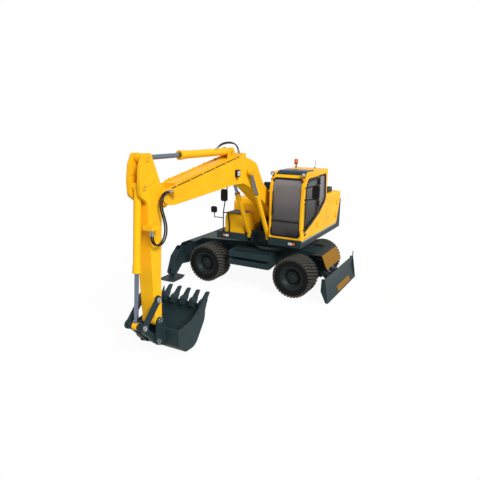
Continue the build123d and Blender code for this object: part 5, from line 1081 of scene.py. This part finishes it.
@dataclass
class Cab:
    """Window rubbers, side glazing trim, visor, handles and the driver's place."""

    inner_x: float = 0.345
    outer_x: float = 1.263
    rear_y: float = 0.670
    roof_z: float = 3.165
    nose: Section = field(default_factory=lambda: [spot for spot in CAB_SIDE if spot[0] < -0.7])
    window_x: Point2 = (0.420, 1.188)
    window_corner: float = 0.06
    screen_z: Point2 = (1.571, 3.000)
    split_z: float = 1.950
    split_half: float = 0.011
    rear_window_z: Point2 = (2.250, 2.990)
    right_window: tuple[Point2, Point2] = ((-0.940, 0.550), (2.000, 3.000))
    trim_rise: float = 0.0030
    trim_thickness: float = 0.005
    hinge: Point2 = (1.285, -0.060)
    hinge_z: Point2 = (2.300, 2.880)
    hinge_radius: float = 0.018
    hinge_bore: float = 0.0105
    leaf_half: float = 0.031
    ear_low: Point2 = (-0.061, 0.0325)
    ear: float = 0.0285
    visor_front: float = -0.915
    visor_roof: Point3 = (-0.62, -0.46, -0.300)
    visor_bevel: float = 0.006
    rail_y: float = -1.082
    aerial: Point2 = (0.930, 0.500)
    floor_z: float = 1.540
    seat_z: float = 1.900
    wheel_place: Point2 = (-0.704, 2.150)
    wheel_radius: float = 0.172
    wheel_grip: float = 0.0135

    def front_y(self, z: float) -> float:
        """Place of the cab's front at a height."""
        for (y0, z0), (y1, z1) in zip(self.nose, self.nose[1:]):
            if z0 <= z <= z1 and z1 > z0:
                return y0 + (y1 - y0) * (z - z0) / (z1 - z0)
        return self.nose[0][0] if z < self.nose[0][1] else self.nose[-1][0]

    def build(self, shop: Workshop) -> None:
        """Build everything on the cab."""
        self._rubbers(shop)
        self._side_trim(shop)
        self._hinges(shop)
        self._visor(shop)
        self._handles(shop)
        self._inside(shop)

    def _rubbers(self, shop: Workshop) -> None:
        """Rubber round the windscreen, the rear and the right window, and the bar across the screen."""
        rubber = Shape()
        rubber.band(oblong(self.window_x, self.screen_z, self.window_corner), WINDOW_RUBBER,
                    lambda x, z, rise: Vector((x, self.front_y(z) - rise, z)))
        rubber.band(oblong(self.window_x, self.rear_window_z, self.window_corner), WINDOW_RUBBER,
                    lambda x, z, rise: Vector((x, self.rear_y + rise, z)))
        rubber.band(oblong(*self.right_window, self.window_corner), WINDOW_RUBBER,
                    lambda y, z, rise: Vector((self.inner_x - rise, y, z)))
        (a, b), z, half = self.window_x, self.split_z, self.split_half
        rubber.block((a, self.front_y(z) - 0.004, z - half), (b, self.front_y(z) + 0.020, z + half))
        shop.shape("cab_window_rubber", rubber, SEAL, "upper")

    def _side_trim(self, shop: Workshop) -> None:
        """Black glazing surrounds of the door and of the quarter window, and the rubber of their panes."""
        at = Matrix.Translation((self.outer_x + self.trim_rise, 0, 0)) @ YZ_PLANE
        for name, trim, pane, body in (("door_glazing_trim", DOOR_TRIM, DOOR_PANE, "cab_door"),
                                       ("quarter_glazing_trim", QUARTER_TRIM, QUARTER_PANE, "upper")):
            shop.piece(name, sheet_with_holes(name, [trim, pane], self.trim_thickness, at), BLACK, body)
        for name, pane, body in (("door_window_rubber", DOOR_PANE, "cab_door"),
                                 ("quarter_window_rubber", QUARTER_PANE, "upper")):
            edge = Shape().band(pane, PANE_RUBBER, lambda y, z, rise: Vector((self.outer_x + rise, y, z)))
            shop.shape(name, edge, SEAL, body)

    def _hinges(self, shop: Workshop) -> None:
        """Black covers of the door's two upper hinges: ears on the cab, leaves on the door."""
        (x, y), radius, half, ear = self.hinge, self.hinge_radius, self.leaf_half, self.ear
        wall, bore, ease = self.outer_x - 0.004, self.hinge_bore, 0.003
        knuckle = [(0.0, 0.0), (radius, 0.0), (radius, ear), (0.0, ear)]
        tube = [(bore, -half), (radius, -half), (radius, half), (bore, half)]
        ears, leaves = Shape(), Shape()
        for z in self.hinge_z:
            for low in (z + rise for rise in self.ear_low):
                ears.block((wall, y + 0.0025, low), (x + 0.019, y + 0.047, low + ear), ease)
                ears.lathe(knuckle, Matrix.Translation((x, y, low)), 20)
            leaves.block((wall, y - 0.052, z - half), (x + 0.0022, y - 0.0045, z + half), ease)
            leaves.lathe(tube, Matrix.Translation((x, y, z)), 20, closed=True)
        shop.shape("door_hinge_ears", ears, BLACK, "upper")
        shop.shape("door_hinge_leaves", leaves, BLACK, "cab_door")

    def _visor(self, shop: Workshop) -> None:
        """Blue-black visor on the brow, over a dark seal."""
        brow = [Vector(spot) for spot in self.nose if spot[0] > self.visor_front]
        brow += [Vector((y, self.roof_z)) for y in self.visor_roof]
        bevel = self.visor_bevel
        for name, finish, (a, b), low, high in (("visor", VISOR, (0.438, 1.192), 0.003, 0.021),
                                                ("visor_seal", SEAL, (0.430, 1.200), -0.004, 0.003)):
            rings = []
            for index, spot in enumerate(brow):
                ahead = brow[min(index + 1, len(brow) - 1)] - brow[max(index - 1, 0)]
                out = Vector((-ahead.y, ahead.x)).normalized()
                bottom, top = spot + out * low, spot + out * high
                rings.append([Vector((a, *bottom)), Vector((b, *bottom)), Vector((b - bevel, *top)),
                              Vector((a + bevel, *top))])
            shop.shape(name, Shape().loft(rings), finish, "upper")

    def _handles(self, shop: Workshop) -> None:
        """Grab rail on the front post, aerial, parked wiper and door handle."""
        rail = [Vector((self.outer_x + away, self.rail_y, z)) for away, z in GRAB_RAIL]
        fittings = Shape().bar(rail, 0.012)
        x, y = self.aerial
        fittings.lathe(AERIAL_FOOT, Matrix.Translation((x, y, self.roof_z - 0.001)), 20)
        fittings.bar([Vector((x, y, self.roof_z + 0.03)), Vector((x + 0.005, y + 0.010, 3.260)),
                      Vector((x + 0.015, y + 0.020, 3.385))], 0.005, 8)
        fittings.bar([Vector((0.480, self.front_y(2.000) - 0.010, 2.000)),
                      Vector((0.462, self.front_y(2.400) - 0.026, 2.400))], 0.007, 8)
        wiper = [Vector((0.455, self.front_y(z) - 0.014, z)) for z in (2.10, 2.25, 2.40, 2.55, 2.70)]
        fittings.bar(wiper, 0.009, 8)
        shop.shape("cab_fittings", fittings, BLACK, "upper")
        at = Matrix.Translation((self.outer_x + 0.0005, 0, 0)) @ YZ_PLANE
        shop.shape("door_handle", Shape().prism(DOOR_HANDLE, 0.0, 0.016, at, 0.004), BLACK, "cab_door")

    def _inside(self, shop: Workshop) -> None:
        """Consoles with levers, steering wheel, and the seat with its sewn cushions."""
        middle, top = (self.inner_x + self.outer_x) / 2, self.seat_z
        frame = Shape()
        frame.block((middle - 0.185, -0.170, self.floor_z), (middle + 0.185, 0.230, top - 0.115), 0.02)
        levers = []
        for side in (-1, 1):
            a, b = sorted((middle + side * 0.258, middle + side * 0.355))
            frame.block((a, -0.295, top - 0.155), (b, 0.155, top - 0.002), 0.02)
            levers.append(Vector(((a + b) / 2, -0.230, top - 0.01)))
            a, b = sorted((middle + side * 0.152, middle + side * 0.298))
            frame.block((a, 0.022, top - 0.215), (b, 0.118, top - 0.125), 0.006)
        for foot in levers:
            frame.bar([foot, foot + Vector((0, -0.004, 0.050)), foot + Vector((0, -0.012, 0.080))], 0.010, 10)
            frame.lathe(LEVER_KNOB, Matrix.Translation(foot + Vector((0, -0.012, 0.075))), 16)
        hub = Vector((middle, *self.wheel_place))
        frame.bar([Vector((middle, -0.804, self.floor_z)), Vector((middle, -0.75, 1.87)), hub], 0.040, 16)
        tilt = Matrix.Translation(hub) @ Matrix.Rotation(math.radians(20), 4, "X")
        rim = [(self.wheel_radius + self.wheel_grip * x, self.wheel_grip * y) for x, y in circle(12)]
        frame.lathe(rim, tilt, 48, closed=True)
        for turn in (90, 210, 330):
            spoke = tilt @ Matrix.Rotation(math.radians(turn), 4, "Z")
            frame.bar([spoke @ Vector((0.0, 0, -0.004)), spoke @ Vector((0.166, 0, 0.0))], 0.011, 8)
        frame.lathe(WHEEL_HUB, tilt, 24)
        shop.shape("driver_consoles", frame, BLACK, "upper", ("cab_interior",))
        flat = Matrix.Translation((middle, 0.005, top - 0.070))
        lean = Matrix.Translation((middle, 0.305, 2.240)) @ Matrix.Rotation(math.radians(74), 4, "X")
        pads = (("seat_cushion", (0.46, 0.53, 0.135), flat), ("seat_back", (0.43, 0.74, 0.115), lean))
        for name, size, at in pads:
            shop.shape(name, Shape().pillow(size, at, 2), FABRIC, "upper")


# Lamps and mirrors

ROOF_LAMP: Section = [
    (0.0, -0.072), (0.026, -0.072), (0.044, -0.056), (0.053, -0.024), (0.053, 0.002), (0.047, 0.004),
    (0.046, -0.006), (0.0, -0.006)]
ROOF_LENS: Section = [(0.0, 0.008), (0.024, 0.006), (0.046, 0.0), (0.046, -0.006), (0.0, -0.006)]
BEACON_FOOT: Section = [
    (0.0, 0.0), (0.034, 0.0), (0.034, 0.012), (0.018, 0.018), (0.016, 0.082), (0.050, 0.088), (0.058, 0.094),
    (0.058, 0.108), (0.0, 0.108)]
BEACON_DOME: Section = [
    (0.0, 0.108), (0.054, 0.108), (0.056, 0.125), (0.055, 0.195), (0.046, 0.222), (0.026, 0.234),
    (0.0, 0.236)]


@dataclass
class LampsAndMirrors:
    """Deck lamps, roof lamps, beacon, boom lamp and mirror glasses."""

    deck_x: Point2 = (-0.890, 1.010)
    deck_y: float = -1.1403
    deck_z: float = 1.400
    deck_half: Point2 = (0.097, 0.041)
    lens_half: float = 0.033
    clear: Point2 = (-0.089, 0.022)
    amber: Point2 = (0.028, 0.089)
    roof_x: Point2 = (0.375, 1.205)
    roof_y: float = -1.030
    roof_z: float = 3.117
    marker_z: float = 2.985
    marker_half: Point2 = (0.024, 0.022)
    beacon: Point3 = (0.383, 0.500, 3.165)
    boom_lamp: Point2 = (2.529, 3.221)
    boom_face: float = 0.190
    # x, y, height, width and tallness of each mirror
    mirrors: tuple[tuple[float, float, float, float, float], ...] = (
        (-1.290, -1.105, 2.060, 0.170, 0.170), (-0.970, -1.105, 2.470, 0.190, 0.320),
        (1.563, -1.068, 2.730, 0.180, 0.320))
    mirror_rim: float = 0.009

    def build(self, shop: Workshop) -> None:
        """Build the lamps and the mirror glasses."""
        cases, lenses, ambers = Shape(), Shape(), Shape()
        self._deck(cases, lenses, ambers)
        self._roof(cases, lenses, ambers)
        shop.shape("lamp_cases", cases, BLACK, "upper", ("lamps",))
        shop.shape("lamp_lenses", lenses, LENS, "upper")
        shop.shape("lamp_ambers", ambers, AMBER, "upper")
        self._boom(shop)
        self._mirrors(shop)

    def _pane(self, shape: Shape, x: Point2, z: Point2, y: Point2, corner: float) -> None:
        """Rounded pane that faces the front, between two x, two heights and two depths."""
        shape.prism(oblong(x, z, corner, 5), -y[1], -y[0], FRONT_PLANE, 0.005)

    def _deck(self, cases: Shape, lenses: Shape, ambers: Shape) -> None:
        """Two deck lamps, each clear towards the middle and amber outside."""
        wide, tall = self.deck_half
        y, z, half = self.deck_y, self.deck_z, self.lens_half
        for x in self.deck_x:
            out = 1 if x > 0 else -1
            self._pane(cases, (x - wide, x + wide), (z - tall, z + tall), (y - 0.036, y), 0.018)
            for lens, span, depth in ((lenses, self.clear, 0.047), (ambers, self.amber, 0.045)):
                across = tuple(sorted(x + out * end for end in span))
                self._pane(lens, across, (z - half, z + half), (y - depth, y - 0.03), 0.014)

    def _roof(self, cases: Shape, lenses: Shape, ambers: Shape) -> None:
        """Round work lamps on the brow with small amber markers, and the beacon."""
        y, z = self.roof_y, self.roof_z
        (wide, tall), low = self.marker_half, self.marker_z
        for x in self.roof_x:
            at = axis_matrix(Vector((x, y, z)), Vector((0, -1, 0)))
            cases.lathe(ROOF_LAMP, at, 32)
            lenses.lathe(ROOF_LENS, at, 32)
            cases.block((x - 0.014, y + 0.045, z - 0.085), (x + 0.014, y + 0.075, z))
            ambers.block((x - wide, -1.062, low - tall), (x + wide, -1.000, low + tall), 0.008)
        cases.lathe(BEACON_FOOT, Matrix.Translation(self.beacon), 32)
        ambers.lathe(BEACON_DOME, Matrix.Translation(self.beacon), 32)

    def _boom(self, shop: Workshop) -> None:
        """Square work lamp on the boom's left side with an amber marker below."""
        reach, z = self.boom_lamp
        at = Matrix.Translation((self.boom_face, 0, 0)) @ YZ_PLANE
        # name, finish, half width, lower and upper edge, corner and its steps, start and end of depth, ease
        for name, finish, half, (low, high), (corner, steps), (start, end), ease in (
                ("boom_lamp_case", BLACK, 0.081, (-0.081, 0.081), (0.024, 5), (-0.002, 0.057), 0.008),
                ("boom_lamp_lens", LENS, 0.057, (-0.057, 0.057), (0.014, 5), (0.05, 0.064), 0.004),
                ("boom_lamp_marker", AMBER, 0.034, (-0.150, -0.105), (0.010, 4), (-0.002, 0.022), 0.005)):
            loop = oblong((-reach - half, -reach + half), (z + low, z + high), corner, steps)
            shop.shape(name, Shape().prism(loop, start, end, at, ease), finish, "boom")

    def _mirrors(self, shop: Workshop) -> None:
        """Bulged backs and silvered glasses of the three mirrors."""
        backs, glasses = Shape(), Shape()
        rim = self.mirror_rim
        for x, y, z, wide, high in self.mirrors:
            half, tall, corner = wide / 2, high / 2, 0.28 * min(wide, high)
            self._pane(backs, (x - half, x + half), (z - tall, z + tall), (y - 0.052, y - 0.030), corner)
            self._pane(glasses, (x - half + rim, x + half - rim), (z - tall + rim, z + tall - rim),
                       (y - 0.002, y + 0.004), corner - 0.006)
        shop.shape("mirror_backs", backs, BLACK, "upper")
        shop.shape("mirror_glasses", glasses, MIRROR, "upper")


# Digging gear


@dataclass(frozen=True)
class Ram:
    """A cylinder of the digging gear, in the boom plane."""

    name: str
    body: str
    rod_body: str
    base: Point2
    eye: Point2
    length: float
    barrel: float
    rod: float
    eye_radius: float
    eye_half: float
    lanes: tuple[float, ...]

    def build(self, shop: Workshop) -> None:
        """Build the gland with its bolts and the painted rod eye."""
        gland, bolts, eyes = Shape(), Shape(), Shape()
        wide, rod, half = self.barrel, self.rod, self.eye_half + 0.001
        ring = [(wide - 0.003, -0.135), (wide + 0.008, -0.130), (wide + 0.008, -0.030),
                (wide + 0.015, -0.024), (wide + 0.015, 0.006), (wide + 0.008, 0.013), (rod + 0.010, 0.013),
                (rod + 0.002, 0.010), (rod + 0.002, 0.001), (wide - 0.003, 0.001)]
        inner, outer = self.eye_radius - 0.03, self.eye_radius + 0.002
        sleeve = [(inner, -half), (outer, -half), (outer, half), (inner, half)]
        for x in self.lanes:
            base, eye = boom_point(x, *self.base), boom_point(x, *self.eye)
            along = (eye - base).normalized()
            at = axis_matrix(base + along * self.length, along)
            gland.lathe(ring, at, 40, closed=True)
            heads = shop.bolts(8, (wide + rod) / 2 + 0.007, 0.007, 0.008, STEEL)
            bolts.add(heads, at @ Matrix.Translation((0, 0, 0.013)))
            eyes.lathe(sleeve, axis_matrix(eye, Vector((1, 0, 0))), 40, closed=True)
        shop.shape(f"{self.name}_gland", gland, YELLOW, self.body)
        shop.shape(f"{self.name}_gland_bolts", bolts, STEEL, self.body)
        shop.shape(f"{self.name}_rod_eye", eyes, YELLOW, self.rod_body)


RAMS = (
    Ram("boom_cylinder", "boom_cylinder_barrels", "boom_cylinder_rods", (0.950, 1.430), (2.020, 3.220),
        length=1.400, barrel=0.058, rod=0.040, eye_radius=0.074, eye_half=0.040, lanes=(-0.272, 0.272)),
    Ram("arm_cylinder", "arm_cylinder_barrel", "arm_cylinder_rod", (2.600, 3.700), (5.480, 3.700),
        length=1.790, barrel=0.078, rod=0.045, eye_radius=0.078, eye_half=0.070, lanes=(0.0,)),
    Ram("bucket_cylinder", "bucket_cylinder_barrel", "bucket_cylinder_rod", (5.590, 3.230), (5.780, 0.770),
        length=1.480, barrel=0.066, rod=0.040, eye_radius=0.068, eye_half=0.050, lanes=(0.0,)),
)


@dataclass
class DiggingGear:
    """Pin caps, hard pipes and rams of the boom, the arm and the bucket."""

    # body, reach, height, x of the pin's end, radius, painted or bare
    pins: tuple[tuple[str, float, float, float, float, Finish], ...] = (
        ("upper", 0.100, 1.940, 0.240, 0.085, YELLOW), ("boom", 2.020, 3.220, 0.312, 0.058, YELLOW),
        ("boom", 5.100, 2.970, 0.220, 0.075, YELLOW), ("boom", 2.600, 3.700, 0.115, 0.055, YELLOW),
        ("arm", 5.480, 3.700, 0.158, 0.060, YELLOW), ("arm", 5.590, 3.230, 0.158, 0.055, YELLOW),
        ("arm", 5.380, 1.170, 0.212, 0.056, STEEL), ("bucket_levers", 5.780, 0.770, 0.207, 0.055, STEEL),
        ("bucket", 5.340, 0.760, 0.190, 0.056, STEEL), ("bucket", 5.390, 0.360, 0.190, 0.052, STEEL))
    boom_half: float = 0.190
    edge_start: Point2 = (2.320, 3.625)
    edge_end: Point2 = (5.170, 3.120)
    pipe_reach: Point2 = (2.440, 4.925)
    pipe_drop: float = 0.022
    top_reach: Point2 = (2.300, 4.640)
    top_lanes: Point2 = (-0.165, 0.165)
    pipe_steps: int = 8
    clamp_count: int = 6
    clamp_inset: float = 0.15

    def build(self, shop: Workshop) -> None:
        """Build the rams, the pin caps, the pipes and their clamps."""
        for ram in RAMS:
            ram.build(shop)
        self._caps(shop)
        self._pipes(shop)
        self._clamps(shop)

    def _edge(self, reach: float, below: float = 0.0) -> float:
        """Height of the boom's upper edge at a reach, less a distance."""
        (r0, z0), (r1, z1) = self.edge_start, self.edge_end
        return z0 + (z1 - z0) * (reach - r0) / (r1 - r0) - below

    def _along(self, x: float, span: Point2, below: float) -> list[Vector]:
        """Points along the boom's upper edge between two reaches."""
        start, end = span
        stations = [start + (end - start) * k / self.pipe_steps for k in range(self.pipe_steps + 1)]
        return [boom_point(x, reach, self._edge(reach, below)) for reach in stations]

    def _caps(self, shop: Workshop) -> None:
        """Round caps with three bolts on both ends of each pin."""
        for number, (body, reach, z, x, radius, finish) in enumerate(self.pins, 1):
            caps, bolts = Shape(), Shape()
            profile = [(0.0, -0.004), (radius, -0.004), (radius, 0.006), (radius - 0.004, 0.010),
                       (0.62 * radius, 0.010), (0.56 * radius, 0.006), (0.0, 0.006)]
            for side in (-1, 1):
                at = axis_matrix(boom_point(side * x, reach, z), Vector((side, 0, 0)))
                caps.lathe(profile, at, 32)
                heads = shop.bolts(3, 0.34 * radius, 0.009, 0.009, STEEL)
                bolts.add(heads, at @ Matrix.Translation((0, 0, 0.006)))
            shop.shape(f"pin_caps_{number}", caps, finish, body)
            shop.shape(f"pin_bolts_{number}", bolts, STEEL, body)

    def _pipes(self, shop: Workshop) -> None:
        """A thin pipe along the boom's upper left edge, black as a painted shadow line, and one on each side
        of its top.
        """
        start, drop = self.pipe_reach[0], self.pipe_drop
        x = self.boom_half + 0.007
        path = [boom_point(x - 0.02, start - 0.05, self._edge(start, drop) + 0.005)]
        path += self._along(x, self.pipe_reach, drop)
        # The black finish of this pipe paints the shadow line along the boom's upper edge.
        shop.shape("boom_side_pipe", Shape().bar(path, 0.008, 10), BLACK, "boom")
        top = Shape()
        first, last = self.top_reach
        for x in self.top_lanes:
            inlet = boom_point(x, first - 0.06, self._edge(first, 0.02))
            outlet = boom_point(x, last + 0.05, self._edge(last + 0.05, 0.02))
            top.bar([inlet, *self._along(x, self.top_reach, -0.017), outlet], 0.012, 10)
        shop.shape("boom_top_pipes", top, YELLOW, "boom")

    def _clamps(self, shop: Workshop) -> None:
        """Clamps of the side pipe, and saddles under the top pipes."""
        half, fall = self.boom_half, self._edge(0.0) - self._edge(1.0)
        # name, one clamp's corners, reaches of its pipe, lanes and drop below the edge
        for name, low, high, (start, end), lanes, drop in (
                ("boom_pipe_clamps", (half - 0.002, -0.016, -0.024), (half + 0.019, 0.016, 0.020),
                 self.pipe_reach, (0.0,), self.pipe_drop),
                ("boom_pipe_saddles", (-0.022, -0.030, -0.004), (0.022, 0.030, 0.034), self.top_reach,
                 self.top_lanes, 0.0)):
            step = (end - start - 2 * self.clamp_inset) / (self.clamp_count - 1)
            first = start + self.clamp_inset
            clamps = Shape()
            for x in lanes:
                one = Shape().block(low, high).close("clamp")
                row = shop.row(one, self.clamp_count, (0.0, -step, -fall * step), YELLOW)
                clamps.add(row, Matrix.Translation(boom_point(x, first, self._edge(first, drop))))
            shop.shape(name, clamps, YELLOW, "boom")


# Chassis and upper structure


@dataclass
class Chassis:
    """Blade plate and post, guard flange and step grips."""

    blade_edge: Point2 = (2.065, 0.045)
    blade_middle: Point2 = (1.962, 0.330)
    blade_top: Point2 = (1.960, 0.655)
    plate_y: Point2 = (-0.330, 0.740)
    plate_z: Point2 = (0.075, 0.215)
    plate_steps: int = 8
    post: Point2 = (1.952, 1.232)
    guard_half: float = 0.601
    guard_x: Point2 = (1.362, 1.638)
    guard_z: float = 1.044
    step_x: Point2 = (-0.770, 0.370)
    step_y: Point2 = (0.700, 1.020)
    step_z: float = 1.014
    grip_count: int = 6

    def blade_x(self, z: float) -> float:
        """Place of the blade's hollow face at a height, on the arc through its three points."""
        (ax, az), (bx, bz), (cx, cz) = self.blade_edge, self.blade_middle, self.blade_top
        scale = 2 * (ax * (bz - cz) + bx * (cz - az) + cx * (az - bz))
        a, b, c = ax * ax + az * az, bx * bx + bz * bz, cx * cx + cz * cz
        middle_x = (a * (bz - cz) + b * (cz - az) + c * (az - bz)) / scale
        middle_z = (a * (cx - bx) + b * (ax - cx) + c * (bx - ax)) / scale
        radius = math.hypot(ax - middle_x, az - middle_z)
        return middle_x - math.sqrt(radius ** 2 - (z - middle_z) ** 2)

    def build(self, shop: Workshop) -> None:
        """Build the blade's plate and post, the flange and the grips."""
        (low, high), (y0, y1) = self.plate_z, self.plate_y
        rings = []
        for k in range(self.plate_steps + 1):
            z = low + (high - low) * k / self.plate_steps
            back, front = self.blade_x(z) - 0.004, self.blade_x(z) + 0.005
            rings.append([Vector((x, y, z)) for x, y in ((back, y0), (front, y0), (front, y1), (back, y1))])
        # The blade plate takes the yellow paint in painted shade.
        shop.shape("blade_plate", Shape().loft(rings), SHADED_YELLOW, "blade")
        post = Shape().bar([Vector((*self.post, 0.600)), Vector((*self.post, 0.800))], 0.013, 12)
        post.block((1.938, 1.215, 0.560), (1.966, 1.2495, 0.640))
        shop.shape("blade_post", post, GREY, "blade")
        (a, b), half, z = self.guard_x, self.guard_half, self.guard_z
        flange = Shape().block((a, -half, z - 0.003), (b, half, z + 0.0035), 0.002)
        shop.shape("guard_flange", flange, GREY, "chassis")
        bars = Shape()
        for side in Side:
            along = tuple(side.value * y for y in self.step_y)
            shop.grips(self.step_x, along, self.step_z, self.grip_count, bars)
        shop.shape("step_grips", bars, GREY, "chassis")


LATCH: Section = [
    (0.0, -0.002), (0.034, -0.002), (0.034, 0.004), (0.028, 0.008), (0.018, 0.008), (0.016, 0.004),
    (0.0, 0.004)]
FILLER_CAP: Section = [
    (0.0, -0.002), (0.085, -0.002), (0.085, 0.012), (0.062, 0.014), (0.060, 0.045), (0.052, 0.052),
    (0.0, 0.052)]
SLAT = rounded([(-0.012, -0.002), (0.006, -0.002), (0.012, 0.009), (-0.002, 0.010)], 0.002, 3)


@dataclass
class Upper:
    """Painted highlight strips along the skirt, latches, filler cap, tool box mat, hood slats and grips of the
    tank's step.
    """

    half: float = 1.245
    strip_y: Point2 = (-1.060, 1.700)
    strip_z: Point2 = (1.440, 1.4815)
    latch: Point2 = (0.930, 1.760)
    tank_cap: Point3 = (-0.820, 0.330, 2.250)
    tool_mat: tuple[Point2, Point2, float] = ((-0.935, -0.425), (-1.055, -0.555), 2.000)
    inlet: tuple[Point2, Point2] = ((-1.080, -0.350), (0.830, 1.110))
    inlet_rim: float = 0.03
    hood_z: float = 2.420
    slat_count: int = 9
    slat_inset: float = 0.04
    tank_step: tuple[Point2, Point2, float] = ((-1.200, -0.440), (-0.480, -0.160), 1.640)
    grip_count: int = 5

    def build(self, shop: Workshop) -> None:
        """Build the trim of the upper structure."""
        # Pale strips on both sides along the skirt's top edge: a painted highlight.
        highlight_strips = Shape()
        (y0, y1), (low, high) = self.strip_y, self.strip_z
        for side in (-1, 1):
            a, b = sorted((side * (self.half - 0.002), side * (self.half + 0.006)))
            highlight_strips.block((a, y0, low), (b, y1, high), 0.002)
        shop.shape("skirt_strips", highlight_strips, PAINTED_HIGHLIGHT, "upper")
        for side, word in ((1, "left"), (-1, "right")):
            at = axis_matrix(Vector((side * self.half, *self.latch)), Vector((side, 0, 0)))
            shop.shape(f"service_latch_{word}", Shape().lathe(LATCH, at, 28), STEEL, f"service_door_{word}")
        filler = Shape().lathe(FILLER_CAP, Matrix.Translation(self.tank_cap), 32)
        shop.shape("tank_filler", filler, BLACK, "upper")
        (x0, x1), (y0, y1), z = self.tool_mat
        mat = Shape().block((x0, y0, z - 0.002), (x1, y1, z + 0.006), 0.003)
        shop.shape("tool_box_mat", mat, BLACK, "upper")
        self._inlet(shop)
        shop.shape("tank_step_grips", shop.grips(*self.tank_step, self.grip_count, Shape()), GREY, "upper")

    def _inlet(self, shop: Workshop) -> None:
        """Slatted air inlet on the hood."""
        (x0, x1), (y0, y1) = self.inlet
        rim, inset = self.inlet_rim, self.slat_inset
        loops = [oblong((x0, x1), (y0, y1), 0.03, 5),
                 oblong((x0 + rim, x1 - rim), (y0 + rim, y1 - rim), 0.015, 5)]
        frame = Shape().add(sheet_with_holes("inlet", loops, 0.012, Matrix.Identity(4)),
                            Matrix.Translation((0, 0, self.hood_z + 0.005)))
        one = Shape().prism(SLAT, x0 + 0.02, x1 - 0.02, YZ_PLANE).close("slat")
        step = (y1 - y0 - 2 * inset) / (self.slat_count - 1)
        row = shop.row(one, self.slat_count, (0.0, step, 0.0), BLACK)
        frame.add(row, Matrix.Translation((0, y0 + inset, self.hood_z)))
        shop.shape("hood_inlet", frame, BLACK, "engine_hood")


def main() -> None:
    """Build the excavator's looks piece by piece."""
    logging.basicConfig(level=logging.INFO, format="%(name)s: %(message)s")
    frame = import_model()
    shop = Workshop()
    Studio().build()
    dress_nodes(shop, frame["nodes"])
    wheels = [TwinWheel(f"{axle}_wheel_{side.word}", side) for axle in ("steer", "rigid") for side in Side]
    for assembly in (*HOSES, *wheels, Cab(), LampsAndMirrors(), DiggingGear(), Chassis(), Upper()):
        assembly.build(shop)


if __name__ == "__main__":
    main()
